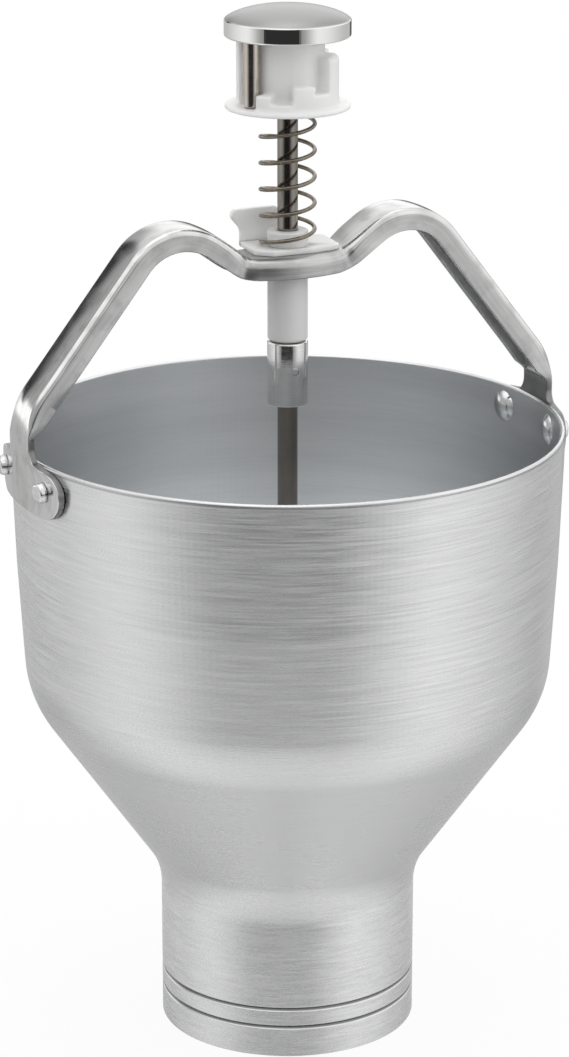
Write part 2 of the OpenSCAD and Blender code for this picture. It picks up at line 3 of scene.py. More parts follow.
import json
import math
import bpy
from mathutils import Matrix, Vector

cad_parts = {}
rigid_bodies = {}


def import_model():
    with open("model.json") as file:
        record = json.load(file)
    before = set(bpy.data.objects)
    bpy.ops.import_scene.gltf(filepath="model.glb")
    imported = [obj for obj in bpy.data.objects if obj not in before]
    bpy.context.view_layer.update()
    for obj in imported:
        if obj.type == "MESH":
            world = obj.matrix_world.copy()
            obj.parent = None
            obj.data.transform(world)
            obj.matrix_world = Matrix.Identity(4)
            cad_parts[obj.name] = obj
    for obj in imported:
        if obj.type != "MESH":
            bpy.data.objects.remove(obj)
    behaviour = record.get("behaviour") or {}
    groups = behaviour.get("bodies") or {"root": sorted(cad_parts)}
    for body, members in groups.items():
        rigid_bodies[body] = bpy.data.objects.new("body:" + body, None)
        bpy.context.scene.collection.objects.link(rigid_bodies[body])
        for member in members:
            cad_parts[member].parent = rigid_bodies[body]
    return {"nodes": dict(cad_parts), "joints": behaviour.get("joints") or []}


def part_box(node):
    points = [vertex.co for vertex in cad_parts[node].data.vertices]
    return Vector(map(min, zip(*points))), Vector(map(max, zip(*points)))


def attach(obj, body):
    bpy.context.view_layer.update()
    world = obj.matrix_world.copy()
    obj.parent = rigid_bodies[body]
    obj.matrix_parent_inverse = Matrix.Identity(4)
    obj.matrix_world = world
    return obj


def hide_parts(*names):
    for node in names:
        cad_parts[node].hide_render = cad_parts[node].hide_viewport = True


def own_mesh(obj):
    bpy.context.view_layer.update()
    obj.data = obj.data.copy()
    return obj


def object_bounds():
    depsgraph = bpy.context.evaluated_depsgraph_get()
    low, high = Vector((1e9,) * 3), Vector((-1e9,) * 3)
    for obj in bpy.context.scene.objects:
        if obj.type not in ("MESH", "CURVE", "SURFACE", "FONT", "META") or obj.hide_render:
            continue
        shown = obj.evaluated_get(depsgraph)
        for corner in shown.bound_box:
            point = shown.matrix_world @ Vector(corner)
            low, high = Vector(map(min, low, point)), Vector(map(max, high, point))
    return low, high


bl_info = {
    "name": "Hand Batter Depositor",
    "version": (1, 0, 0),
    "blender": (4, 5, 0),
    "location": "3D View > Sidebar > Depositor",
    "description": "Builds the hopper, handle, plunger and portion dial of a hand batter depositor",
    "category": "Object",
}

from contextlib import contextmanager

import bmesh
import bpy
from bpy.props import FloatProperty, FloatVectorProperty, IntProperty, PointerProperty
from mathutils import Matrix, Vector

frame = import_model()
CAD_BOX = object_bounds()
TRAVEL = {joint["name"]: joint["range_m"][1] for joint in frame["joints"]}
FRAME_BODY = "hopper_frame"
PLUNGER_BODY = "plunger"
DIAL_BODY = "dial"

MM = 0.001
# Millimetres
SEAT_GAP = 0.02    # between a piece and the one that it is seated on
LUG_GAP = 0.05     # between the handle's lugs and the hopper's wall
POCKET_GAP = 0.45  # round the spring in the dial's pocket
CAP_SIDE = 4.9     # the straight side of the thumb cap


def node_span(node):
    """Radius and the lowest and highest z of a turned CAD node on the axis, in millimetres."""
    low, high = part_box(node)
    return (high.x - low.x) / 2 / MM, low.z / MM, high.z / MM


def within(value, low=0.0, high=1.0):
    return min(high, max(low, value))


def hump(offset, spread):
    """1 where offset is 0, and falling to both sides over about spread."""
    return math.exp(-(offset / spread) ** 2)


# ---- Outlines: lists of 2-D points in millimetres ----

def left_of(v):
    return Vector((-v.y, v.x))


def heading_of(degrees):
    """The unit vector at an angle."""
    return Vector((math.cos(math.radians(degrees)), math.sin(math.radians(degrees))))


def meet(p, u, q, v):
    """The point where a line through p along u crosses a line through q along v."""
    return p + u * ((q - p).cross(v) / u.cross(v))


def moved(path, d):
    """A path of straight stretches, moved d to its left."""
    out = []
    for i, p in enumerate(path):
        a, b = min(i, len(path) - 2), max(i - 1, 0)
        m, n = [left_of((path[k + 1] - path[k]).normalized()) for k in (b, a)]
        out.append(p + (m + n) * (d / (1 + m.dot(n))))
    return out


def moved_bends(path, bends, d):
    """The bends of the moved path, tighter on the inside of each corner."""
    out = []
    for i, r in enumerate(bends):
        if r == 0:
            out.append(0)
        else:
            turn = (path[i] - path[i - 1]).cross(path[i + 1] - path[i])
            out.append(r - math.copysign(d, d * turn))
    return out


def bend(a, b, c, r, steps):
    """Points of a bend of radius r in corner b, each with its heading."""
    u, v = (a - b).normalized(), (c - b).normalized()
    half = math.acos(within(u.dot(v), -1, 1)) / 2
    centre = b + (u + v).normalized() * (r / math.sin(half))
    p = b + u * (r / math.tan(half)) - centre
    q = b + v * (r / math.tan(half)) - centre
    start = math.atan2(p.y, p.x)
    turn = math.atan2(p.cross(q), p.dot(q))
    quarter = math.copysign(math.pi / 2, turn)
    out = []
    for i in range(steps + 1):
        t = start + turn * i / steps
        out.append((centre + Vector((math.cos(t), math.sin(t))) * r, t + quarter))
    return out


def rounded(path, bends, step_angle):
    """A path with its corners bent, in steps of about step_angle degrees."""
    out = []
    for i, p in enumerate(path):
        if bends[i] == 0:
            out.append(p)
            continue
        into, away = path[i] - path[i - 1], path[i + 1] - path[i]
        turned = abs(math.degrees(math.atan2(into.cross(away), into.dot(away))))
        steps = max(2, math.ceil(turned / step_angle))
        out += [q for q, _ in bend(path[i - 1], p, path[i + 1], bends[i], steps)]
    return out


def arc(cx, cy, r, start, end, steps):
    """Points of an arc, with its angles in degrees."""
    turns = [start + (end - start) * i / steps for i in range(steps + 1)]
    return [Vector((cx, cy)) + heading_of(turn) * r for turn in turns]


def points(*pairs):
    return [Vector(p) for p in pairs]


def ring_section(inner, outer, low, high):
    """The section of a plain ring, up the outside and back down its bore."""
    return points((inner, low), (outer, low), (outer, high), (inner, high), (inner, low))


def closed_round(corners, r, steps=6):
    """A closed outline with the same bend in every corner."""
    n = len(corners)
    out = []
    for i in range(n):
        out += [p for p, _ in bend(corners[i - 1], corners[i], corners[(i + 1) % n], r, steps)]
    return out


def softened(corners, r, steps):
    """An outline whose corners are broken by a small bend, with its two ends left as they are."""
    return rounded(corners, [0] + [r] * (len(corners) - 2) + [0], 90 / steps)


# ---- Node trees ----

class Value:
    """What a node puts out. Python's operators on it add Math nodes."""

    def __init__(self, nodes, socket):
        self.nodes = nodes
        self.socket = socket

    def maths(self, operation, *others):
        return self.nodes.node("ShaderNodeMath", {"operation": operation}, dict(enumerate((self, *others))))

    def flipped(self, operation, other):
        return self.nodes.node("ShaderNodeMath", {"operation": operation}, {0: other, 1: self})

    def __abs__(self):
        return self.maths("ABSOLUTE")

    def above(self, low, high):
        """0 below low, 1 above high, and smooth between."""
        return self.nodes.node("ShaderNodeMapRange", {"interpolation_type": "SMOOTHSTEP"}, {
            "Value": self, "From Min": low, "From Max": high})

    def below(self, low, high):
        return 1 - self.above(low, high)

    def clamped(self):
        return self.nodes.node("ShaderNodeClamp", None, {"Value": self})


for symbol, kind in (("add", "ADD"), ("sub", "SUBTRACT"), ("mul", "MULTIPLY"), ("truediv", "DIVIDE")):
    setattr(Value, f"__{symbol}__", lambda self, other, kind=kind: self.maths(kind, other))
    setattr(Value, f"__r{symbol}__", lambda self, other, kind=kind: self.flipped(kind, other))


class Nodes:
    """A node tree under construction."""

    def __init__(self, net):
        self.net = net

    def node(self, kind, settings=None, sockets=None, out=0):
        """One output of a new node. Its settings come first, then the values or links of its sockets."""
        n = self.net.nodes.new(kind)
        for key, value in (settings or {}).items():
            setattr(n, key, value)
        for key, value in (sockets or {}).items():
            if isinstance(value, Value):
                self.net.links.new(value.socket, n.inputs[key])
            elif value is not None:
                n.inputs[key].default_value = value
        return Value(self, n.outputs[out]) if len(n.outputs) else None


# ---- Geometry Nodes ----

class Tree(Nodes):
    """A Geometry Nodes group that takes a mesh and some named values."""

    def __init__(self, name, inputs):
        super().__init__(bpy.data.node_groups.new(name, "GeometryNodeTree"))
        face = self.net.interface
        face.new_socket("Geometry", in_out="INPUT", socket_type="NodeSocketGeometry")
        self.ids = {}
        for label, (kind, default) in inputs.items():
            item = face.new_socket(label, in_out="INPUT", socket_type="NodeSocket" + kind)
            if default is not None:
                item.default_value = default
            self.ids[label] = item.identifier
        face.new_socket("Geometry", in_out="OUTPUT", socket_type="NodeSocketGeometry")
        self.source = self.net.nodes.new("NodeGroupInput")

    def put(self, label):
        """What the modifier puts into an input."""
        return Value(self, self.source.outputs[label])

    def step(self, kind, geometry, sockets=None, settings=None):
        """Runs a geometry through one more node."""
        return self.node("GeometryNode" + kind, settings, {"Geometry": geometry, **(sockets or {})})

    def shaded(self, geometry, limit):
        """Smooth over edges that turn less than limit, and sharp over the rest."""
        edge = self.node("GeometryNodeInputMeshEdgeAngle", out="Unsigned Angle")
        flat = edge.maths("LESS_THAN", limit)
        return self.step("SetShadeSmooth", geometry, {"Shade Smooth": flat}, {"domain": "EDGE"})

    def coated(self, geometry):
        """Realizes the geometry and gives it the tree's material."""
        geometry = self.step("RealizeInstances", geometry)
        return self.step("SetMaterial", geometry, {"Material": self.put("Skin")})

    def finish(self, geometry):
        self.node("NodeGroupOutput", None, {"Geometry": geometry})
        return self


def lathe_tree():
    """Turns a profile, a row of points in the XZ plane, about the Z axis. Its stretches from Inner From on
    take the inner finish."""
    tree = Tree("Lathe", {
        "Segments": ("Int", 128),
        "Inner From": ("Int", 100000),
        "Sharp Angle": ("Float", math.radians(40)),
        "Skin": ("Material", None),
        "Inner Skin": ("Material", None),
    })
    profile, segments = tree.put("Geometry"), tree.put("Segments")
    count = tree.node("GeometryNodeAttributeDomainSize", {"component": "MESH"}, {"Geometry": profile},
                      "Point Count")
    grid = tree.node("GeometryNodeMeshGrid", None, {"Vertices X": segments + 1, "Vertices Y": count})
    index = tree.node("GeometryNodeInputIndex")
    place = tree.step("SampleIndex", profile, {
        "Value": tree.node("GeometryNodeInputPosition"), "Index": index.maths("FLOORED_MODULO", count)},
        {"data_type": "FLOAT_VECTOR", "domain": "POINT"})
    turn = (index / count).maths("FLOOR") * (2 * math.pi / segments)
    place = tree.node("ShaderNodeVectorRotate", {"rotation_type": "Z_AXIS"}, {
        "Vector": place, "Angle": turn})
    skin = tree.step("SetPosition", grid, {"Position": place})
    # Each column of the grid has one face fewer than points
    inner = index.maths("FLOORED_MODULO", count - 1).maths("GREATER_THAN", tree.put("Inner From") - 0.5)
    skin = tree.step("SetMaterial", skin, {"Material": tree.put("Skin")})
    skin = tree.step("SetMaterial", skin, {"Selection": inner, "Material": tree.put("Inner Skin")})
    skin = tree.step("MergeByDistance", skin, {"Distance": 2e-6})
    return tree.finish(tree.step("RealizeInstances", tree.shaded(skin, tree.put("Sharp Angle"))))


def coil_tree():
    """Winds a wire round the Z axis at an even pitch, with flat cut ends."""
    tree = Tree("Coil", {
        "Turns": ("Float", 5.0),
        "Coil Radius": ("Float", 0.0083),
        "Wire Radius": ("Float", 0.00065),
        "Height": ("Float", 0.04),
        "Foot": ("Float", 0.25),
        "Start": ("Float", 0.0),
        "Skin": ("Material", None),
    })
    radius = tree.put("Coil Radius")
    spiral = tree.node("GeometryNodeCurveSpiral", None, {
        "Resolution": 64, "Rotations": tree.put("Turns"), "Start Radius": radius, "End Radius": radius,
        "Height": tree.put("Height"), "Reverse": True})
    section = tree.node("GeometryNodeCurvePrimitiveCircle", {"mode": "RADIUS"}, {
        "Resolution": 14, "Radius": tree.put("Wire Radius")})
    wire = tree.node("GeometryNodeCurveToMesh", None, {
        "Curve": spiral, "Profile Curve": section, "Fill Caps": True})
    place, turn = [tree.node("ShaderNodeCombineXYZ", None, {"Z": tree.put(key)})
                   for key in ("Foot", "Start")]
    wire = tree.step("Transform", wire, {"Translation": place, "Rotation": turn})
    return tree.finish(tree.coated(tree.shaded(wire, math.radians(50))))


def scatter_tree():
    """Puts one turned piece on each point of the source, turned to the point's own attribute."""
    tree = Tree("Rivets", {"Pattern": ("Object", None), "Skin": ("Material", None)})
    pattern = tree.node("GeometryNodeObjectInfo", {"transform_space": "ORIGINAL"}, {
        "Object": tree.put("Pattern"), "As Instance": True}, "Geometry")
    turn = tree.node("GeometryNodeInputNamedAttribute", {"data_type": "FLOAT_VECTOR"}, {"Name": "turn"},
                     "Attribute")
    placed = tree.node("GeometryNodeInstanceOnPoints", None, {
        "Points": tree.put("Geometry"), "Instance": pattern, "Rotation": turn})
    return tree.finish(tree.coated(placed))


# ---- Mesh objects ----

def linked(name, mesh):
    obj = bpy.data.objects.new(name, mesh)
    bpy.context.scene.collection.objects.link(obj)
    return obj


def evaluated_mesh(obj):
    """What an object's modifiers make of it, as a plain mesh."""
    bpy.context.view_layer.update()
    evaluated = obj.evaluated_get(bpy.context.evaluated_depsgraph_get())
    return bpy.data.meshes.new_from_object(evaluated)


def applied(obj):
    """Keeps the result of an object's modifiers as its plain mesh."""
    mesh = evaluated_mesh(obj)
    obj.modifiers.clear()
    obj.data = mesh
    return obj


def grown(name, source, tree, values):
    """Runs a tree on a source mesh and keeps the result as one plain mesh object."""
    seed = linked(name + "_seed", source)
    modifier = seed.modifiers.new("Grow", "NODES")
    modifier.node_group = tree.net
    for label, value in values.items():
        modifier[tree.ids[label]] = value
    mesh = evaluated_mesh(seed)
    mesh.name = name
    bpy.data.objects.remove(seed)
    return linked(name, mesh)


@contextmanager
def edited(mesh):
    """The mesh as a bmesh, which is written back at the end."""
    work = bmesh.new()
    work.from_mesh(mesh)
    yield work
    work.to_mesh(mesh)
    work.free()


def facing_out(mesh):
    """Recalculates a closed mesh's normals, and turns them all if its volume comes out negative."""
    with edited(mesh) as work:
        bmesh.ops.recalc_face_normals(work, faces=work.faces)
        if work.calc_volume(signed=True) < 0:
            bmesh.ops.reverse_faces(work, faces=work.faces)


def smoothed(mesh, sharp):
    """Smooth shading, with the edges that turn more than sharp degrees kept sharp."""
    mesh.polygons.foreach_set("use_smooth", [True] * len(mesh.polygons))
    mesh.set_sharp_from_angle(angle=math.radians(sharp))


def turned(name, outline, skin, segments, inner=None, inner_from=None, sharp=40):
    """A turned piece, from an outline of (radius, height). It runs up the outside, so that its faces point
    outwards."""
    values = {"Segments": segments, "Sharp Angle": math.radians(sharp), "Skin": skin}
    values["Inner Skin"] = inner or skin
    if inner_from is not None:
        values["Inner From"] = inner_from
    profile = bpy.data.meshes.new("profile")
    profile.from_pydata([(p.x * MM, 0, p.y * MM) for p in outline], [], [])
    obj = grown(name, profile, TREES["lathe"], values)
    facing_out(obj.data)
    return obj


def cut(obj, cutter):
    """Takes one closed piece out of another."""
    hole = obj.modifiers.new("Hole", "BOOLEAN")
    hole.operation = "DIFFERENCE"
    hole.solver = "EXACT"
    hole.object = cutter
    applied(obj)
    bpy.data.objects.remove(cutter)
    return obj


def joined(name, parts, material):
    """Several plain mesh objects of one material as one."""
    mesh = bpy.data.meshes.new(name)
    with edited(mesh) as work:
        for part in parts:
            work.from_mesh(part.data)
        for face in work.faces:
            face.material_index = 0
    mesh.materials.append(material)
    for part in parts:
        bpy.data.objects.remove(part)
    return linked(name, mesh)


def dress(obj, body, slot, *nodes):
    """The piece rides on its body and stands for CAD nodes, which it hides. Its slot is not used."""
    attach(obj, body)
    if nodes:
        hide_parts(*nodes)


# ---- Shaders ----

def from_axis(x, y):
    return (x * x + y * y).maths("SQRT")


def mixed(low, share, high):
    return low * (1 - share) + share * high


def window(value, rise, fall):
    """1 between two slopes, each given by its start and end."""
    return value.above(*rise) * value.below(*fall)


class Finish(Nodes):
    """The nodes of a material or a world."""

    def __init__(self, owner):
        owner.use_nodes = True
        super().__init__(owner.node_tree)
        self.net.nodes.clear()
        self.owner = owner

    def split(self, vector):
        outs = self.node("ShaderNodeSeparateXYZ", None, {"Vector": vector}).socket.node.outputs
        return [Value(self, out) for out in outs]

    def vector(self, x, y, z):
        return self.node("ShaderNodeCombineXYZ", None, {"X": x, "Y": y, "Z": z})

    def noise(self, vector, scale, detail, rough=0.6):
        return self.node("ShaderNodeTexNoise", None, {
            "Vector": vector, "Scale": scale, "Detail": detail, "Roughness": rough})

    def ringed(self, x, y, along):
        """A noise drawn out round the Z axis, by its cells round it and its pitch along it in metres."""
        r = from_axis(x, y).maths("MAXIMUM", 1e-5)
        cx, cy = x / r, y / r

        def noise(cells, pitch, detail=2, rough=0.6):
            return self.noise(self.vector(cx * cells, cy * cells, along / pitch), 1, detail, rough)

        return noise

    def colour(self, factor, low, high):
        """Low where factor is 0 and high where it is 1. Either may be a colour or a Value."""
        low, high = [c if isinstance(c, Value) else (*c, 1) for c in (low, high)]
        return self.node("ShaderNodeMix", {"data_type": "RGBA"}, {0: factor, 6: low, 7: high}, 2)

    def bump(self, height, strength, distance, normal=None):
        return self.node("ShaderNodeBump", None, {
            "Height": height, "Strength": strength, "Distance": distance, "Normal": normal})

    def surface(self, base, rough, normal, metal=1.0, more=None):
        """The finished material, with any more of the shader's values by their names."""
        return self.shown(self.node("ShaderNodeBsdfPrincipled", None, {
            "Base Color": base, "Metallic": metal, "Roughness": rough, "Normal": normal, **(more or {})}))

    def shown(self, shader, output="ShaderNodeOutputMaterial"):
        self.node(output, None, {"Surface": shader})
        return self.owner


def painted(name, viewport):
    """A new material with a plain colour in the viewport, and the place of a point of its piece: as a
    vector, and as three coordinates in metres."""
    material = bpy.data.materials.new(name)
    material.diffuse_color = (*viewport, 1)
    f = Finish(material)
    at = f.node("ShaderNodeTexCoord", out="Object")
    return f, at, *f.split(at)


def dimmed(colour, share):
    return [c * share for c in colour]


def spun_outside(name, colour):
    """Aluminium brushed round its axis in short fine streaks, calmer on the cone, with painted shade in the
    grooves and under the rolled rim.
    """
    f, _, x, y, z = painted(name, colour)
    ringed = f.ringed(x, y, z)
    cone = window(z, (0.047, 0.056), (0.1, 0.125))
    streak = ringed(4.5, 0.0005) * 0.65 + ringed(1.8, 0.0009) * 0.35
    streak = (streak - 0.5) * (1 - cone * 0.8) + 0.5
    patch = ringed(1.5, 0.05, 2, 0.5)
    tone = (streak - 0.5) * 2.6 + 0.55
    rough = 0.28 + (streak - 0.5) * 0.35 + (patch - 0.5) * 0.08
    sizes = bpy.context.scene.depositor_hopper
    # Painted shade: dark bands in the two rolled grooves and a dark line just under the rim's roll.
    groove_shade = 0
    for groove_z in (sizes.groove_z, sizes.groove_z + sizes.groove_pitch):
        groove_shade = abs(z - (groove_z + 0.12) * MM).below(0.0004, 0.00075) + groove_shade
    rim_shade_line = abs(z - (sizes.rim_z - 1.0) * MM).below(0.0002, 0.0005)
    base = f.colour(tone.clamped(), dimmed(colour, 0.78), colour)
    base = f.colour((rim_shade_line * 0.5 + groove_shade) * 0.8, base, (0.08, 0.08, 0.08))
    return f.surface(base, rough, f.bump(streak, 0.25, 0.00006),
                     more={"Anisotropic": 0.85, "Anisotropic Rotation": 0.25})


def spun_inside(name, colour):
    """The hopper's inside: duller, with the spinning tool's soft rings, and painted shade making it darker
    near the rim.
    """
    f, _, x, y, z = painted(name, colour)
    ringed = f.ringed(x, y, z)
    fine = ringed(4, 0.0007, 3)
    rings = ringed(0.6, 0.012, 3, 0.5)
    tone = ((fine - 0.5) * 0.8 + (rings - 0.5) * 1.4 + 0.5).clamped()
    base = f.colour(tone, dimmed(colour, 0.84), colour)
    # Painted shade: the inside is darker towards the rim.
    base = f.colour(z.above(0.142, 0.17) * 0.26, base, (0, 0, 0))
    rough = 0.42 + (rings - 0.5) * 0.2
    return f.surface(base, rough, f.bump(rings * 0.8 + fine * 0.2, 0.3, 0.0003),
                     more={"Anisotropic": 0.7, "Anisotropic Rotation": 0.25})


def plated_steel(name, colour):
    """Bright zinc plate on pressed strip: dents, drawing lines along it, scars, a scuffed saddle, and
    painted shade low on the lug.

    The map runs along the strip from the saddle's middle and round its section from one edge, in metres."""
    f, at, _, _, z = painted(name, colour)
    along, across, _ = f.split(f.node("ShaderNodeUVMap", {"uv_map": "strip"}))
    saddle = abs(along).below(0.014, 0.022)
    outer_face = window(across, (0.005, 0.0056), (0.029, 0.0295))
    inner_face = across.above(0.034, 0.0345)
    # Painted shade: below the arm's foot, every face but the outer one is darkened.
    lug_edge_shade = (1 - outer_face) * z.below(0.200, 0.206)
    drawn = f.noise(f.vector(along / 0.03, across / 0.0009, 0.0), 1, 2)
    dents = f.noise(at, 70, 1, 0.4)
    cloud = f.noise(at, 160, 2, 0.5)
    scars = f.noise(f.vector(along / 0.0009, across / 0.004, 3.0), 1, 2)
    scar = scars.above(0.67, 0.73) * cloud.above(0.53, 0.63)
    dull = cloud.above(0.45, 0.7)
    tone = dull * 0.55 + (drawn - 0.5) * (1.6 + saddle * 1.6) + 0.3 + saddle * 0.25
    base = f.colour(tone.clamped(), colour, dimmed(colour, 0.72))
    base = f.colour(scar * 0.45, base, (0.16, 0.155, 0.15))
    base = f.colour(saddle * 0.35, base, (0.3, 0.3, 0.3))
    # Painted shade on the lug's edges and inside.
    base = f.colour(lug_edge_shade * 0.75, base, (0.10, 0.10, 0.10))
    rough = 0.14 + dull * 0.06 + (drawn - 0.5) * 0.08 + scar * 0.15
    rough = rough + lug_edge_shade * 0.2 + inner_face * 0.25 + saddle * 0.16
    worn = f.bump((drawn * 0.25 + scar * -0.5) * (1 - inner_face), 0.08, 0.00008)
    return f.surface(base, rough, f.bump(dents, 0.2, 0.0015, worn))


def turned_steel(name, colour, rough, pitch=0.0003, depth=0.1):
    """Turned metal, with its fine lines round the axis."""
    f, at, x, y, z = painted(name, colour)
    lines = f.ringed(x, y, z + from_axis(x, y) * 0.7)(2, pitch, 3)
    return lined_steel(f, at, colour, rough, lines, depth)


def ground_steel(name, colour, rough):
    """Ground bar, with its fine lines along the axis."""
    f, at, x, y, z = painted(name, colour)
    pitch = 0.0003
    lines = f.noise(f.vector(x / pitch, y / pitch, z / 0.02), 1, 3)
    return lined_steel(f, at, colour, rough, lines, 0.1)


def lined_steel(f, at, colour, rough, lines, depth):
    cloud = f.noise(at, 220, 3)
    tone = ((lines - 0.5) * 1.5 + (cloud - 0.5) + 0.5).clamped()
    base = f.colour(tone, dimmed(colour, 0.78), colour)
    rough = rough + (lines - 0.5) * 0.14 + (cloud - 0.5) * 0.12
    return f.surface(base, rough, f.bump(lines, depth, 0.00005))


def polished_cap(name, colour):
    """Polished steel whose straight side is a mirror and whose dome has a satin face, its colour darkened
    by painted shade.
    """
    f, at, x, y, z = painted(name, colour)
    side_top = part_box("thumb_cap")[0].z + CAP_SIDE * MM
    dome = z.above(side_top, side_top + 0.0006)
    rings = f.noise(f.vector(x * 20, y * 20, from_axis(x, y) / 0.0003), 1, 2)
    smear = f.noise(at, 160, 3)
    # The dome's higher roughness is its real satin finish; its darker colour is painted shade.
    base = f.colour(dome, colour, dimmed(colour, 0.4))
    rough = 0.045 + dome * 0.27 + dome * (rings - 0.5) * 0.1 + (smear - 0.5) * 0.05
    return f.surface(base, rough, f.bump(rings * dome, 0.06, 0.00004))


def moulded(name, colour, rough, glow):
    """Milky moulded plastic with a faint grain, soft edges and a little light inside."""
    f, at, *_ = painted(name, colour)
    grain = f.noise(at, 1400, 3)
    cloud = f.noise(at, 90, 3, 0.55)
    base = f.colour((cloud - 0.1).clamped(), dimmed(colour, 0.95), colour)
    soft_edge = f.node("ShaderNodeBevel", {"samples": 6}, {"Radius": 0.0003})
    return f.surface(base, rough + (grain - 0.5) * 0.1, f.bump(grain, 0.12, 0.00008, soft_edge), 0.0, {
        "Subsurface Weight": glow, "Subsurface Radius": (1.0, 1.0, 1.0), "Subsurface Scale": 0.003,
        "IOR": 1.5})


def seal_rubber(name, colour):
    """Dark rubber with a fine grain."""
    f, at, *_ = painted(name, colour)
    grain = f.noise(at, 1800, 3)
    base = f.colour(f.noise(at, 120, 2, 0.5), dimmed(colour, 0.8), dimmed(colour, 1.5))
    return f.surface(base, 0.6 + (grain - 0.5) * 0.2, f.bump(grain, 0.2, 0.0001), 0.0)


def spring_wire(name, colour):
    """Drawn stainless wire, with a brown tint and darker oxide in places."""
    f, at, *_ = painted(name, colour)
    fine = f.noise(at, 2500, 2)
    base = f.colour(f.noise(at, 300, 3).above(0.35, 0.7), colour, dimmed(colour, 0.72))
    return f.surface(base, 0.11 + (fine - 0.5) * 0.1, f.bump(fine, 0.08, 0.00005))


# Each finish's recipe, its colour among the looks, and the recipe's own values
RECIPES = {
    "spun_aluminium": (spun_outside, "aluminium"),
    "spun_aluminium_inside": (spun_inside, "aluminium_inside"),
    "plated_steel": (plated_steel, "plated_steel"),
    "collar_steel": (turned_steel, "polished_steel", 0.1),
    "rivet_aluminium": (turned_steel, "aluminium", 0.17, 0.0006),
    "washer_steel": (turned_steel, "rod_steel", 0.3),
    "cast_disc": (turned_steel, "aluminium", 0.35, 0.0008, 0.2),
    "rod_steel": (ground_steel, "rod_steel", 0.15),
    "pin_steel": (ground_steel, "pin_steel", 0.16),
    "polished_steel": (polished_cap, "polished_steel"),
    "white_nylon": (moulded, "nylon", 0.36, 0.6),
    "white_acetal": (moulded, "acetal", 0.42, 0.9),
    "seal_rubber": (seal_rubber, "rubber"),
    "spring_steel": (spring_wire, "spring_steel"),
}
SKINS = {}
TREES = {}


def skin(name):
    """The finish of one name, made on its first use."""
    if name not in SKINS:
        recipe, colour, *values = RECIPES[name]
        SKINS[name] = recipe(name, getattr(bpy.context.scene.depositor_looks, colour), *values)
    return SKINS[name]


# ---- Settings ----

def size(name, description, default, **more):
    return FloatProperty(name=name, description=description, default=default, **more)


def angle(name, description, default):
    return size(name, description, default, subtype="ANGLE")


def paint(name, description, *colour):
    return FloatVectorProperty(name=name, description=description, default=colour, subtype="COLOR", min=0,
                               max=1)


class HopperSizes(bpy.types.PropertyGroup):
    """The hopper, in millimetres."""
    rim_r: size("Rim Radius", "Outer radius at the rim", 86.0, min=80, max=95)
    rim_z: size("Rim Height", "Height of the rim", node_span("hopper")[2], min=180, max=215)
    wall_foot_r: size("Wall Foot Radius", "Outer radius where cone and wall meet", 82.0)
    wall_foot_z: size("Wall Foot Height", "Height where cone and wall meet", 111.1)
    wall_bow: size("Wall Bow", "How far the wall's middle stands out", 1.0)
    bow_bend: size("Bow Bend", "Outer radius of the wall's bow", 1300.0)
    shoulder_bend: size("Shoulder Bend", "Outer radius of the bend from cone to wall", 34.0)
    throat_bend: size("Throat Bend", "Outer radius of the bend from neck to cone", 25.7)
    neck_r: size("Neck Radius", "Outer radius of the neck", 40.5)
    neck_top_z: size("Neck Top", "Height where neck and cone meet", 51.9)
    sheet: size("Sheet", "Thickness of the sheet", 1.5, min=0.8, max=2.5)
    groove_z: size("Groove Height", "Height of the lower rolled groove", 9.8)
    groove_pitch: size("Groove Pitch", "Distance between the grooves", 6.1)
    groove_depth: size("Groove Depth", "Depth of a groove", 0.55)
    groove_half: size("Groove Half Width", "Half the width of a groove", 0.8)
    segments: IntProperty(name="Segments", description="Faces round the hopper", default=256, min=64,
                          max=400)


class HandleSizes(bpy.types.PropertyGroup):
    """The handle and its rivets, in millimetres."""
    strip: size("Strip", "Thickness of the handle's sheet", 2.2)
    width: size("Width", "Width of the channel", 15.9)
    depth: size("Depth", "Depth of the channel's flanges", 6.7)
    fold_r: size("Fold Radius", "Outer radius of the two folds", 1.8)
    saddle_fold_r: size("Saddle Fold Radius", "Outer radius of the folds at the saddle", 3.2)
    saddle_z: size("Saddle Height", "Height of the saddle's top face", 251.0)
    saddle_half: size("Saddle Half Length", "Half the flat saddle", 15.1)
    saddle_bulge: size("Saddle Bulge", "How far the saddle's sides bulge", 3.2)
    rise_slope: size("Rise Slope", "Slope beside the saddle, in degrees", 35.3)
    arm_slope: size("Arm Slope", "Slope of the arms, in degrees", 52.2)
    arm_foot_z: size("Arm Foot", "Height where arm and lug faces meet", 208.8)
    saddle_bend: size("Saddle Bend", "Radius of the bend beside the saddle", 10.0)
    arch_bend: size("Arch Bend", "Outer radius of the arches", 20.5)
    lug_bend: size("Lug Bend", "Radius of the bend above the lug", 26.0)
    rivet_z: size("Rivet Height", "Height of the rivets", 188.5)
    rivet_turn: size("Rivet Turn", "Degrees from the arm to a rivet", 10.5)
    lug_end_r: size("Lug End Radius", "Radius of the lug's round ends", 8.5)
    lug_hollow: size("Lug Hollow", "Radius of the corner from lug to arm", 5.0)
    lug_rise: size("Lug Rise", "Height of the lug's round ends over the rivets", 6.2)
    pinch: size("Pinch", "Depth of the creases beside the saddle", 0.9)
    crown: size("Crown", "How far the middle of the web stands out", 0.35)
    knuckle: size("Knuckle", "Extra crown in the bend above the lug", 0.8)
    knuckle_z: size("Knuckle Height", "Height of that bend", 210.0)
    run_out_z: size("Run-out Height", "Height where the flanges have run out", 203.0)
    run_out: size("Run-out Length", "Height over which the flanges run out", 6.0)


class SpringSizes(bpy.types.PropertyGroup):
    """The return spring, in millimetres."""
    wire_r: size("Wire Radius", "Radius of the wire", 0.65)
    turns: IntProperty(name="Turns", description="Number of turns", default=5, min=3, max=9)
    start: size("Start", "Angle of the lower end, in degrees", 156.5)


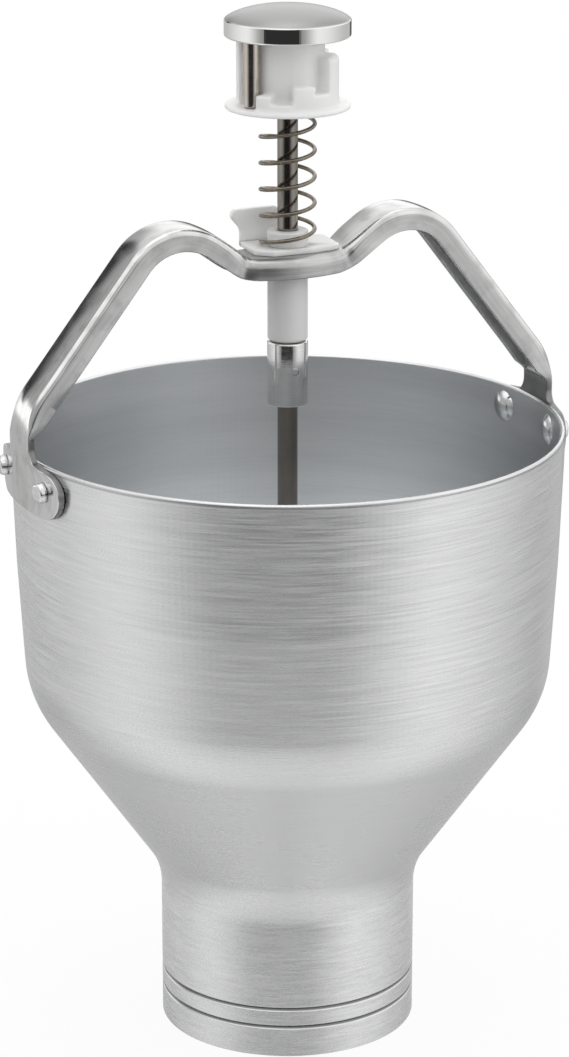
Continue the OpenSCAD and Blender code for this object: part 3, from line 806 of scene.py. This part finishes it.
class Looks(bpy.types.PropertyGroup):
    aluminium: paint("Aluminium", "Spun aluminium outside, rivets and cutter disc", 0.81, 0.813, 0.815)
    aluminium_inside: paint("Aluminium Inside", "Spun aluminium inside", 0.90, 0.92, 0.935)
    plated_steel: paint("Plated Steel", "Zinc plate of the handle", 0.71, 0.71, 0.705)
    polished_steel: paint("Polished Steel", "Thumb cap, stop collar and its pin", 0.84, 0.84, 0.83)
    rod_steel: paint("Rod Steel", "Push rod, washer, spacer and nuts", 0.28, 0.26, 0.235)
    pin_steel: paint("Pin Steel", "Index pin", 0.62, 0.57, 0.52)
    spring_steel: paint("Spring Steel", "Return spring", 0.25, 0.215, 0.175)
    nylon: paint("Nylon", "Guide bush, outlet ring and piston", 0.85, 0.85, 0.84)
    acetal: paint("Acetal", "Portion dial", 0.88, 0.88, 0.87)
    rubber: paint("Rubber", "Piston seal", 0.05, 0.05, 0.055)


class Studio(bpy.types.PropertyGroup):
    distance: size("Distance", "Camera's distance from the axis", 1.10916, unit="LENGTH")
    height: size("Height", "Camera's height", 0.51024, unit="LENGTH")
    turn: angle("Turn", "Camera's turn about the object", math.radians(-23.5))
    tilt: angle("Tilt", "How far the camera looks down", math.radians(17.442))
    aim: angle("Aim", "How far the camera turns left of the axis", 0.00085)
    lens: size("Lens", "Focal length in millimetres", 126.56)
    table_r: size("Table Radius", "Radius of the pale table", 0.3, unit="LENGTH")


# ---- Hopper ----

def upper_wall(s):
    """The two ends of the wall's upper half: where it bows out, and where it runs into the rolled rim."""
    bow = ((s.wall_foot_r + s.rim_r) / 2 + s.wall_bow, (s.wall_foot_z + s.rim_z) / 2)
    return points(bow, (s.rim_r, s.rim_z - s.sheet / 2))


def wall_tilt(s):
    bow, end = upper_wall(s)
    return math.atan((end.x - bow.x) / (end.y - bow.y))


def wall_r_at(s, z):
    return s.rim_r - (upper_wall(s)[1].y - z) * math.tan(wall_tilt(s))


def hopper_path(s, half, depth, lip, root):
    """The hopper's outer line from the outlet to the rim, with the bend of each corner.

    A groove has a half width and a depth, and bends at its lips and at its root."""

    def groove(z):
        return points((s.neck_r, z - half), (s.neck_r - depth, z), (s.neck_r, z + half))

    path = points((s.neck_r, 0)) + groove(s.groove_z) + groove(s.groove_z + s.groove_pitch)
    path += points((s.neck_r, s.neck_top_z), (s.wall_foot_r, s.wall_foot_z), *upper_wall(s))
    return path, [0] + [lip, root, lip] * 2 + [s.throat_bend, s.shoulder_bend, s.bow_bend, 0]


class DEPOSITOR_OT_hopper(bpy.types.Operator):
    """Spins the hopper's sheet about its axis, with its brushed outside and duller inside"""
    bl_idname = "depositor.hopper"
    bl_label = "Hopper"

    def execute(self, context):
        s = context.scene.depositor_hopper
        step_angle = 1.5
        outer = rounded(*hopper_path(s, s.groove_half, s.groove_depth, lip=0.5, root=0.2), step_angle)
        # The sheet's inner side follows a softer groove
        path, bends = hopper_path(s, half=1.2, depth=0.45, lip=2, root=0.5)
        inner = rounded(moved(path, s.sheet), moved_bends(path, bends, s.sheet), step_angle)
        tilt = math.degrees(wall_tilt(s))
        mid = (outer[-1] + inner[-1]) / 2
        roll = arc(mid.x, mid.y, s.sheet / 2, -tilt, 180 - tilt, 10)
        outline = outer[:-1] + roll + list(reversed(inner[:-1])) + [outer[0]]
        over_rim = 8
        hopper = turned("spun_hopper", outline, skin("spun_aluminium"), s.segments,
                        skin("spun_aluminium_inside"), len(outer) + over_rim, 50)
        dress(hopper, FRAME_BODY, "spun_aluminium", "hopper")
        return {"FINISHED"}


# ---- Handle ----

def strip_line(h, s):
    """The handle's outer face from the saddle's middle to the lug's foot, and the heading of its arm."""
    tilt = wall_tilt(s)
    rise, fall = heading_of(h.rise_slope), heading_of(-h.arm_slope)
    down = Vector((-math.sin(tilt), -math.cos(tilt)))
    foot = Vector((lug_face(h, s, h.arm_foot_z), h.arm_foot_z))
    corner = meet(Vector((h.saddle_half, h.saddle_z)), rise, foot, fall)
    lug_low = h.rivet_z - h.lug_end_r
    end = foot + down * ((h.arm_foot_z - lug_low) / math.cos(tilt))
    return points((0, h.saddle_z), (h.saddle_half, h.saddle_z), corner, foot, end), fall


def lug_face(h, s, z):
    return wall_r_at(s, z) + LUG_GAP + h.strip


def strip_stations(h, s, line):
    """Points and headings along the strip, close together where it bends and round the lug, and the height
    where the arm widens to the lug."""
    bends = [0, h.saddle_bend, h.arch_bend, h.lug_bend, 0]
    spacing = 2.5
    flat = h.saddle_half - h.saddle_bend * math.tan(math.radians(h.rise_slope) / 2)
    out = [(Vector((flat * k / 12, h.saddle_z)), 0.0) for k in range(12)]
    # Each corner of the line, with its number of steps
    for i, steps in ((1, 10), (2, 30), (3, 22)):
        stretch = bend(line[i - 1], line[i], line[i + 1], bends[i], steps)
        last = out[-1][0]
        gap = stretch[0][0] - last
        count = max(1, round(gap.length / spacing))
        out += [(last + gap * (k / count), stretch[0][1]) for k in range(1, count)]
        out += stretch
    top_z, heading = out[-1][0].y, out[-1][1]
    neck_z = h.rivet_z + h.lug_rise + h.lug_hollow

    def cosines(turns):
        return [math.cos(math.radians(turn)) for turn in turns]

    heights = [top_z + (neck_z - top_z) * k / 4 for k in range(1, 4)]
    heights += [neck_z - h.lug_hollow * (1 - c) for c in cosines(range(0, 91, 9))]
    heights += [h.rivet_z + h.lug_rise * c for c in cosines(range(6, 91, 6))]
    heights += [h.rivet_z + h.lug_end_r * c for c in cosines(range(96, 181, 6))]
    out += [(Vector((lug_face(h, s, z), z)), heading) for z in heights if z < top_z - 0.05]
    return out, neck_z


def lug_half_width(h, s, z, neck_z):
    """Half the lug's width at a height: the arm's, then a hollow corner, then a round end."""
    pitch = (wall_r_at(s, h.rivet_z) + h.strip) * math.sin(math.radians(h.rivet_turn))
    neck = h.width / 2
    if z >= neck_z:
        return neck
    lift = z - h.rivet_z
    if lift >= h.lug_rise:
        corner = neck + h.lug_hollow - math.sqrt(max(0, h.lug_hollow ** 2 - (neck_z - z) ** 2))
        return min(corner, pitch)
    share = lift / (h.lug_rise if lift > 0 else h.lug_end_r)
    return pitch + h.lug_end_r * math.sqrt(max(0, 1 - share ** 2))


def channel_ring(w, d, fold, strip):
    """The strip's section, across and outwards: down one side, over the top and back inside.

    A section as deep as a channel has flanges. A shallower one is solid, with as many points."""
    edge = 0.35
    r = min(fold, max(edge, d - 0.4))
    q = max(0.25, r - strip)
    web = [1 - 2 * k / 6 for k in range(1, 6)]
    out = points((w - edge, -d), (w, -d + edge)) + arc(w - r, -r, r, 0, 90, 9)
    out += points(*[((w - r) * c, 0) for c in web]) + arc(r - w, -r, r, 90, 180, 9)
    out += points((-w, -d + edge), (edge - w, -d))
    if d > strip + 0.6:
        t = strip + q - w
        out += points((strip - w - edge, -d), (strip - w, -d + edge)) + arc(t, -strip - q, q, 180, 90, 7)
        out += points(*[(t * c, -strip) for c in web]) + arc(-t, -strip - q, q, 90, 0, 7)
        out += points((w - strip, -d + edge), (w - strip + edge, -d))
    else:
        out += points(*[((edge - w) * (1 - 2 * k / 26), -d) for k in range(1, 26)])
    return out


def strip_rings(h, s):
    """The strip's section at each station from the saddle's middle to a lug, and how far along it lies."""
    line, fall = strip_line(h, s)
    stations, neck_z = strip_stations(h, s, line)
    under = moved(line, -h.depth)[2]
    bulge_r = (h.saddle_half ** 2 + h.saddle_bulge ** 2) / (2 * h.saddle_bulge)
    foot_x = line[3].x
    foot_reach = 22
    foot_turn = 90 + math.degrees(wall_tilt(s)) - h.arm_slope
    rings, travels, travel = [], [], 0.0
    last = stations[0][0]
    for p, heading in stations:
        travel += (p - last).length
        last = p
        past_saddle = travel - h.saddle_half
        n = left_of(Vector((math.cos(heading), math.sin(heading))))
        # The flanges keep their depth on the arm, and run out above the lug
        depth = h.depth
        if p.x > foot_x - foot_reach and p.y < h.arm_foot_z + foot_reach:
            run = (p.y - h.run_out_z) / h.run_out
            depth = min((meet(p, -n, under, fall) - p).length, h.strip + (h.depth - h.strip) * run)
        depth = within(depth, h.strip, h.depth)
        half = h.width / 2
        if abs(p.x) < h.saddle_half:
            half += h.saddle_bulge + math.sqrt(bulge_r ** 2 - p.x ** 2) - bulge_r
        elif p.x > foot_x - 3:
            half = lug_half_width(h, s, p.y, neck_z)
        crease = hump(past_saddle - 0.6, 1.5) * h.pinch
        off_saddle = within((past_saddle - 1) / 6)
        # On the lug the strip wraps round the hopper's wall
        wrap = within((-math.degrees(heading) - h.arm_slope) / foot_turn)
        fold = h.saddle_fold_r + (h.fold_r - h.saddle_fold_r) * off_saddle
        fold *= within((depth - h.strip) / (h.depth - h.strip), 0.12)
        crown = (h.crown * off_saddle + h.knuckle * hump(p.y - h.knuckle_z, 5)) * (1 - wrap)
        ring = []
        for across, out in channel_ring(half - crease * 0.6, depth, fold, h.strip):
            out += crown * (1 - min(1, across / half) ** 2)
            sag = wrap * across ** 2 / (2 * p.x) if wrap else 0
            dip = crease * 0.3 * (0.5 if out > -1 else 1) * (1 if abs(across) > half - 4 else 0.3)
            ring.append(Vector((p.x + out * n.x - sag, across, p.y + out * n.y - dip)))
        rings.append(ring)
        travels.append(travel)
    return rings, travels


def loft(name, rings, travels):
    """A closed skin over rings of points, with a map that runs along and round it in metres."""
    n = len(rings[0])
    middle = rings[len(rings) // 2]
    round_at = [0.0]
    for k in range(n):
        round_at.append(round_at[-1] + (middle[(k + 1) % n] - middle[k]).length * MM)
    along = [travel * MM for travel in travels]
    faces, maps = [], []
    for i in range(len(rings) - 1):
        for k in range(n):
            m = (k + 1) % n
            faces.append((i * n + k, (i + 1) * n + k, (i + 1) * n + m, i * n + m))
            maps += [(a, b) for a, b in ((along[i], round_at[k]), (along[i + 1], round_at[k]),
                                         (along[i + 1], round_at[k + 1]), (along[i], round_at[k + 1]))]
    for base in (0, (len(rings) - 1) * n):
        faces.append(tuple(base + k for k in range(n)))
        maps += [(along[0], c) for c in round_at[:n]]
    mesh = bpy.data.meshes.new(name)
    mesh.from_pydata([v * MM for ring in rings for v in ring], [], faces)
    layer = mesh.uv_layers.new(name="strip")
    for corner, uv in enumerate(maps):
        layer.data[corner].uv = uv
    facing_out(mesh)
    smoothed(mesh, 50)
    return mesh


class DEPOSITOR_OT_handle(bpy.types.Operator):
    """Bends the handle's channel from one lug over the saddle to the other"""
    bl_idname = "depositor.handle"
    bl_label = "Handle"

    def execute(self, context):
        rings, travels = strip_rings(context.scene.depositor_handle, context.scene.depositor_hopper)
        left = [[Vector((-v.x, v.y, v.z)) for v in ring] for ring in reversed(rings[1:])]
        left_travels = [-travel for travel in reversed(travels[1:])]
        handle = linked("channel_handle", loft("channel_handle", left + rings, left_travels + travels))
        handle.data.materials.append(skin("plated_steel"))
        weighted = handle.modifiers.new("Flat Faces", "WEIGHTED_NORMAL")
        weighted.keep_sharp = True
        applied(handle)
        dress(handle, FRAME_BODY, "plated_steel", "handle")
        return {"FINISHED"}


class DEPOSITOR_OT_rivets(bpy.types.Operator):
    """Sets the four rivets through the lugs and the hopper's wall"""
    bl_idname = "depositor.rivets"
    bl_label = "Rivets"

    def execute(self, context):
        h, s = context.scene.depositor_handle, context.scene.depositor_hopper
        tilt = wall_tilt(s)
        wall_r = wall_r_at(s, h.rivet_z)
        seat = LUG_GAP + h.strip + SEAT_GAP
        shank_r, dome_r, dome_h = 2.5, 5.0, 2.0
        head_r, head_h, head_edge = 3.2, 2.3, 0.9
        # The dome sits inside the hopper, clear of the wall's own curve
        dome_z = -s.sheet - dome_r ** 2 / (2 * (wall_r - s.sheet)) - SEAT_GAP
        ball = (dome_r ** 2 + dome_h ** 2) / (2 * dome_h)
        turn = math.degrees(math.asin(dome_r / ball))
        outline = arc(0, dome_z - dome_h + ball, ball, -90, -90 + turn * 0.96, 14)
        outline += points((dome_r, dome_z + SEAT_GAP), (shank_r, dome_z), (shank_r, seat),
                          (head_r - 0.3, seat), (head_r - 0.05, seat + 0.2), (head_r, seat + 0.85))
        outline += arc(2.1, seat + head_h - head_edge, head_edge, 10, 90, 8) + points((0, seat + head_h))
        pattern = turned("rivet_pattern", outline, skin("rivet_aluminium"), 40)
        places, turns = [], []
        for side in (0, 1):
            for end in (-1, 1):
                angle = math.pi * side + end * math.radians(h.rivet_turn)
                at = (Matrix.Rotation(angle, 4, "Z") @ Matrix.Translation((wall_r * MM, 0, h.rivet_z * MM))
                      @ Matrix.Rotation(math.pi / 2 + tilt, 4, "Y"))
                places.append(at.translation.copy())
                turns += list(at.to_euler())
        mesh = bpy.data.meshes.new("rivet_places")
        mesh.from_pydata(places, [], [])
        mesh.attributes.new("turn", "FLOAT_VECTOR", "POINT").data.foreach_set("vector", turns)
        rivets = grown("rivets", mesh, TREES["scatter"], {
            "Pattern": pattern, "Skin": skin("rivet_aluminium")})
        bpy.data.objects.remove(pattern)
        dress(rivets, FRAME_BODY, "rivet_aluminium", "rivet_left_front", "rivet_left_rear",
              "rivet_right_front", "rivet_right_rear")
        return {"FINISHED"}


# ---- Guide bush and spring ----

def slab(name, outline, low, high, plane, edge):
    """A flat nylon plate cut to an outline, with its edges broken. It lies in XY, or stands in XZ."""

    def placed(a, b, across):
        return Vector((a, b, across) if plane == "XY" else (a, across, b)) * MM

    mesh = bpy.data.meshes.new(name)
    with edited(mesh) as work:
        face = work.faces.new([work.verts.new(placed(p.x, p.y, low)) for p in outline])
        grown_geometry = bmesh.ops.extrude_face_region(work, geom=[face])["geom"]
        top = [g for g in grown_geometry if isinstance(g, bmesh.types.BMVert)]
        bmesh.ops.translate(work, verts=top, vec=placed(0, 0, high - low))
        bmesh.ops.recalc_face_normals(work, faces=work.faces)
    mesh.materials.append(skin("white_nylon"))
    obj = linked(name, mesh)
    rim = obj.modifiers.new("Edge", "BEVEL")
    rim.width = edge * MM
    rim.segments = 3
    rim.limit_method = "ANGLE"
    rim.angle_limit = math.radians(50)
    applied(obj)
    smoothed(obj.data, 35)
    return obj


class DEPOSITOR_OT_bush(bpy.types.Operator):
    """Moulds the guide bush: tube, boss, plate with its notch, and the curled tail behind"""
    bl_idname = "depositor.bush"
    bl_label = "Guide Bush"

    def execute(self, context):
        top_z = context.scene.depositor_handle.saddle_z
        low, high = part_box("guide_bush")
        foot, back, tail_h = low.z / MM, high.y / MM, high.z / MM - top_z
        tube_r, boss_r, bore_r, boss_h = 6.2, 6.3, 3.2, 6.5
        plate_h, tail_thick, seat = 1.8, 2, top_z + 0.03
        boss_z, boss_top = top_z + 0.2, top_z + boss_h
        outline = points((bore_r, foot), (tube_r - 0.6, foot), (tube_r, foot + 0.6), (tube_r, boss_z),
                         (boss_r, boss_z), (boss_r, boss_top - 0.5), (boss_r - 0.15, boss_top - 0.15),
                         (boss_r - 0.5, boss_top), (bore_r + 0.3, boss_top), (bore_r, boss_top - 0.3),
                         (bore_r, foot))
        tube = turned("bush_tube", outline, skin("white_nylon"), 96)

        # Plate, notch and tail are drawn in tube radii, and the tail's height in shares of its own
        left, right = -1.85 * tube_r, 1.53 * tube_r
        front = points((-2, -0.48), (-1.21, -1.19), (0.9, -1.19), (2.45, -0.89), (2.52, 1.37))
        plan = points((left, back)) + [p * tube_r for p in front] + points((right, back))
        plate = slab("bush_plate", closed_round(plan, 0.23 * tube_r), seat, top_z + plate_h, "XY", 0.3)
        notch = [p * tube_r for p in points((0.87, -0.71), (1.45, -0.42), (0.9, -0.06))]
        cut(plate, slab("bush_notch", notch, top_z - 1, top_z + 4, "XY", 0.05))

        tip_r = 0.32 * tube_r
        tip = Vector((-2.03 * tube_r, tail_h - tip_r))
        foot_corner, waist = Vector((left, 0)), Vector((left, 0.48 * tail_h))
        neck = tip + Vector((-0.9, -0.6)) * tip_r
        side = [foot_corner] + [p for p, _ in bend(foot_corner, waist, neck, 0.65 * tube_r, 10)]
        side += arc(tip.x, tip.y, tip_r, 215, 110, 10)
        slope = ((-0.97, 1), (0, 1), (0.68, 0.78), (1.19, 0.4), (1.53, 0.22), (1.53, 0))
        side += points(*[(x * tube_r, z * tail_h) for x, z in slope])
        side = [p + Vector((0, seat)) for p in side]
        tail = slab("bush_tail", side, back - tail_thick, back, "XZ", 0.35)
        bush = joined("moulded_bush", [tube, plate, tail], skin("white_nylon"))
        dress(bush, FRAME_BODY, "white_nylon", "guide_bush")
        return {"FINISHED"}


class DEPOSITOR_OT_spring(bpy.types.Operator):
    """Winds the return spring between the bush's plate and the dial"""
    bl_idname = "depositor.spring"
    bl_label = "Return Spring"

    def execute(self, context):
        p = context.scene.depositor_spring
        low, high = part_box("return_spring")
        wire = p.wire_r * MM
        length = high.z - low.z
        spring = grown("wound_spring", bpy.data.meshes.new("coil"), TREES["coil"], {
            "Turns": float(p.turns), "Coil Radius": (high.x - low.x) / 2 - wire, "Wire Radius": wire,
            "Height": length - 2 * wire, "Foot": low.z + wire,
            "Start": math.radians(p.start), "Skin": skin("spring_steel")})
        facing_out(spring.data)
        dress(spring, FRAME_BODY, "spring_steel", "return_spring")
        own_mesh(spring)
        return {"FINISHED"}


# ---- Plunger and dial ----

def turn_rod():
    """The push rod, with a small break at its foot."""
    r, low, high = node_span("push_rod")
    outline = points((0, low), (r - 0.6, low), (r, low + 0.6), (r, high), (0, high))
    dress(turned("turned_rod", outline, skin("rod_steel"), 64), PLUNGER_BODY, "rod_steel", "push_rod")


def turn_collar():
    """The stop collar, drilled for the cross pin that runs along Y through it and the rod."""
    rod_r = node_span("push_rod")[0]
    collar_r, low, high = node_span("stop_collar")
    bore = rod_r + SEAT_GAP
    corners = points((bore, low), (collar_r, low), (collar_r, high), (bore, high))
    collar = turned("turned_collar", softened(corners, 0.5, 4) + corners[:1], skin("collar_steel"), 96)

    low_corner, high_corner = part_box("collar_pin")
    pin_r = (high_corner.x - low_corner.x) / 2 / MM
    half = high_corner.y / MM
    crosswise = (Matrix.Translation((0, 0, (high_corner.z + low_corner.z) / 2))
                 @ Matrix.Rotation(math.pi / 2, 4, "X"))

    def rod_across(name, r, reach, edge):
        corners = points((0, -reach), (r, -reach), (r, reach), (0, reach))
        rod = turned(name, softened(corners, edge, 3) if edge else corners, skin("collar_steel"), 32)
        rod.data.transform(crosswise)
        return rod

    dress(rod_across("cross_pin", pin_r, half, 0.25), PLUNGER_BODY, "rod_steel", "collar_pin")
    drill = rod_across("pin_drill", pin_r + 3 * SEAT_GAP, 2 * half, 0)
    dress(cut(collar, drill), PLUNGER_BODY, "plated_steel", "stop_collar")


def turn_cap():
    """The thumb cap: a straight mirror side, and a dome whose rim rolls over faster than its top."""
    r, low, high = node_span("thumb_cap")
    side_top, edge = low + CAP_SIDE, 0.6
    outline = points((0, low)) + arc(r - edge, low + edge, edge, -90, 0, 6)
    for turn in range(0, 91, 2):
        share = math.cos(math.radians(turn))
        rise = max(0, 1 - share ** 2.18) ** (1 / 1.38)
        outline.append(Vector((r * share, side_top + (high - side_top) * rise)))
    cap = turned("thumb_cap_turned", outline, skin("polished_steel"), 192, sharp=30)
    dress(cap, PLUNGER_BODY, "polished_steel", "thumb_cap")


def turn_index_pin():
    """The pin under the cap that rests in one of the dial's pockets."""
    low_corner, high_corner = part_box("index_pin")
    centre = (low_corner + high_corner) / 2
    r = (high_corner.x - low_corner.x) / 2 / MM
    low, high = low_corner.z / MM, high_corner.z / MM
    outline = points((0, low), (r - 0.4, low), (r, low + 0.4), (r, high), (0, high))
    pin = turned("turned_index_pin", outline, skin("pin_steel"), 64)
    pin.data.transform(Matrix.Translation((centre.x, centre.y, 0)))
    dress(pin, PLUNGER_BODY, "rod_steel", "index_pin")


class DEPOSITOR_OT_plunger(bpy.types.Operator):
    """Turns the rod, its stop collar and cross pin, the thumb cap and the index pin"""
    bl_idname = "depositor.plunger"
    bl_label = "Plunger"

    def execute(self, context):
        turn_rod()
        turn_collar()
        turn_cap()
        turn_index_pin()
        return {"FINISHED"}


class DEPOSITOR_OT_dial(bpy.types.Operator):
    """Softens the portion dial's edges as a moulding has them, from a merged copy of the CAD's dial.

    A ring-shaped pocket in its foot takes the spring's last turn while the dial is pulled down."""
    bl_idname = "depositor.dial"
    bl_label = "Portion Dial"

    def execute(self, context):
        acetal = skin("white_acetal")
        mesh = frame["nodes"]["portion_dial"].data.copy()
        with edited(mesh) as work:
            bmesh.ops.remove_doubles(work, verts=work.verts, dist=1e-7)
        mesh.materials.clear()
        mesh.materials.append(acetal)
        dial = linked("moulded_dial", mesh)

        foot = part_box("portion_dial")[0].z / MM
        coil_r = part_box("return_spring")[1].x / MM
        wire = context.scene.depositor_spring.wire_r * 2
        pocket = ring_section(coil_r - wire - POCKET_GAP, coil_r + POCKET_GAP,
                              foot - 1, foot + TRAVEL["dial_pull"] / MM + POCKET_GAP)
        cut(dial, turned("spring_pocket", pocket, acetal, 96))

        even = dial.modifiers.new("Even Mesh", "REMESH")
        even.mode = "VOXEL"
        even.voxel_size = 0.42 * MM
        even.use_smooth_shade = True
        soft = dial.modifiers.new("Soft Edges", "SMOOTH")
        soft.factor = 0.5
        soft.iterations = 8
        applied(dial)
        dress(dial, DIAL_BODY, "white_acetal", "portion_dial")
        return {"FINISHED"}


# ---- Outlet: the CAD's own pieces, with their finishes ----

OUTLET_SKINS = {
    "outlet_ring": "white_nylon",
    "piston": "white_nylon",
    "piston_seal": "seal_rubber",
    "spacer_tube": "washer_steel",
    "cutter_disc": "cast_disc",
    "lock_washer": "washer_steel",
    "end_nut": "washer_steel",
    "backing_nut": "washer_steel",
}


class DEPOSITOR_OT_outlet(bpy.types.Operator):
    """Finishes what sits in the neck: outlet ring, piston, seal, spacer, cutter disc, washer and nuts"""
    bl_idname = "depositor.outlet"
    bl_label = "Outlet"

    def execute(self, context):
        for node, name in OUTLET_SKINS.items():
            materials = frame["nodes"][node].data.materials
            materials.clear()
            materials.append(skin(name))
        return {"FINISHED"}


# ---- Stage ----

def table_skin(reach):
    """A pale table, white to the camera but for the soft shadow, and mostly clear in reflections."""
    f, _, x, y, _ = painted("pale_table", (0.9, 0.9, 0.9))
    edge = from_axis(x, y).above(reach * 0.5, reach * 0.95)
    seen, mirrored = [f.node("ShaderNodeLightPath", out=ray) for ray in ("Is Camera Ray", "Is Glossy Ray")]
    matt = f.node("ShaderNodeBsdfDiffuse", None, {"Color": (0.86, 0.86, 0.86, 1)})
    white = f.node("ShaderNodeEmission", None, {"Color": (1, 1, 1, 1), "Strength": 1.0})
    clear = f.node("ShaderNodeBsdfTransparent")
    mix = f.node("ShaderNodeMixShader", None, {0: seen * (0.9 + edge * 0.1), 1: matt, 2: white})
    mix = f.node("ShaderNodeMixShader", None, {0: mirrored * (0.72 + edge * 0.28), 1: mix, 2: clear})
    return f.shown(mix)


def low_light(side, lift):
    """The room below eye level: dark in the middle, brightest at both sides, dimmer behind."""
    steep = lift.below(-20, -13)
    away = abs(side + 3 + lift.above(-13, -10) * 7 - lift.below(-27, -21) * 6)
    middle = 0.03 + steep * 0.02 + lift.below(-29.5, -21.5) * 0.8
    walls = 0.96 - away.above(65, 145) * (0.52 - lift.above(-27, -21) * 0.12)
    share = away.above(32 - steep * 22, 70) * (0.7 + steep * 0.3) + away.above(31, 35) * (1 - steep) * 0.3
    light = mixed(middle, share, walls)
    light = mixed(light, away.above(158, 166) * lift.above(-17, -12), 0.1)
    rear_lamp = window(side, (-152, -144), (-112, -102)) * lift.above(-9, -5)
    return mixed(light, rear_lamp, 1.5)


def high_light(side, lift):
    """The room above eye level: a dim wall on the left under a lamp strip, a bright wall on the right."""
    light = 0.95 + lift.above(50, 70) * 0.6 + abs(side).above(150, 170) * 0.35
    dim_wall = window(side, (-172, -160), (-10, 25)) * lift.below(22, 30)
    lamp_strip = window(side, (-125, -105), (-10, 10)) * window(lift, (26, 32), (46, 54))
    bright_wall = window(side, (20, 50), (125, 150))
    black_panel = side.above(-152, -148) * (side + lift * 0.2).below(-138, -131) * lift.below(22, 28)
    rear_lamp = window(side, (-135, -130), (-112, -102)) * lift.below(8, 13)
    for share, level in ((dim_wall, 0.5), (lamp_strip, 1.35), (bright_wall, 1.2), (black_panel, 0.03),
                         (rear_lamp, 1.5)):
        light = mixed(light, share, level)
    return light


def studio_world(turn):
    """White to the camera. To the object, a room whose brightness depends on the direction in degrees:
    side is how far to the right of the camera, and lift how far above the horizon."""
    f = Finish(bpy.data.worlds.new("studio"))
    way = f.node("ShaderNodeTexCoord", out="Generated")
    way = f.node("ShaderNodeVectorRotate", {"rotation_type": "Z_AXIS"}, {"Vector": way, "Angle": -turn})
    x, y, z = f.split(way)
    degree = 180 / math.pi
    side = x.maths("ARCTAN2", y * -1) * degree
    lift = z.maths("ARCTAN2", from_axis(x, y).maths("MAXIMUM", 1e-4)) * degree
    light = mixed(high_light(side, lift), lift.below(1, 5), low_light(side, lift))
    seen = f.node("ShaderNodeLightPath", out="Is Camera Ray")
    sky = f.node("ShaderNodeBackground", None, {"Color": (1, 1, 1, 1), "Strength": mixed(light, seen, 1)})
    return f.shown(sky, "ShaderNodeOutputWorld")


class DEPOSITOR_OT_stage(bpy.types.Operator):
    """Sets the pale table, the studio's light and the camera"""
    bl_idname = "depositor.stage"
    bl_label = "Stage"

    def execute(self, context):
        scene, studio = context.scene, context.scene.depositor_studio
        mesh = bpy.data.meshes.new("table")
        with edited(mesh) as work:
            bmesh.ops.create_circle(work, cap_ends=True, segments=96, radius=studio.table_r)
            bmesh.ops.translate(work, verts=work.verts, vec=(0, 0, CAD_BOX[0][2]))
        mesh.materials.append(table_skin(studio.table_r))
        linked("table", mesh)
        scene.world = studio_world(studio.turn)
        data = bpy.data.cameras.new("camera")
        data.lens = studio.lens
        data.sensor_width = 36
        camera = linked("camera", data)
        camera.matrix_world = (Matrix.Rotation(studio.turn, 4, "Z")
                               @ Matrix.Translation((0, -studio.distance, studio.height))
                               @ Matrix.Rotation(studio.aim, 4, "Z")
                               @ Matrix.Rotation(math.pi / 2 - studio.tilt, 4, "X"))
        scene.camera = camera
        scene.view_settings.view_transform = "Standard"
        return {"FINISHED"}


# ---- Add-on ----

GROUPS = {"hopper": HopperSizes, "handle": HandleSizes, "spring": SpringSizes, "looks": Looks,
          "studio": Studio}
STEPS = (DEPOSITOR_OT_hopper, DEPOSITOR_OT_handle, DEPOSITOR_OT_rivets, DEPOSITOR_OT_bush,
         DEPOSITOR_OT_spring, DEPOSITOR_OT_plunger, DEPOSITOR_OT_dial, DEPOSITOR_OT_outlet,
         DEPOSITOR_OT_stage)


class DEPOSITOR_PT_panel(bpy.types.Panel):
    bl_idname = "DEPOSITOR_PT_panel"
    bl_label = "Hand Batter Depositor"
    bl_space_type = "VIEW_3D"
    bl_region_type = "UI"
    bl_category = "Depositor"

    def draw(self, context):
        layout = self.layout
        for step in STEPS:
            layout.operator(step.bl_idname)
        for group in GROUPS:
            box = layout.box()
            box.label(text=group.title())
            settings = getattr(context.scene, "depositor_" + group)
            for key in settings.__annotations__:
                box.prop(settings, key)


CLASSES = (*GROUPS.values(), *STEPS, DEPOSITOR_PT_panel)


def register():
    for cls in CLASSES:
        bpy.utils.register_class(cls)
    for name, group in GROUPS.items():
        setattr(bpy.types.Scene, "depositor_" + name, PointerProperty(type=group))


def unregister():
    for name in GROUPS:
        delattr(bpy.types.Scene, "depositor_" + name)
    for cls in reversed(CLASSES):
        bpy.utils.unregister_class(cls)


def main():
    register()
    TREES.update(lathe=lathe_tree(), coil=coil_tree(), scatter=scatter_tree())
    for step in STEPS:
        group, name = step.bl_idname.split(".")
        getattr(getattr(bpy.ops, group), name)()


if __name__ == "__main__":
    main()
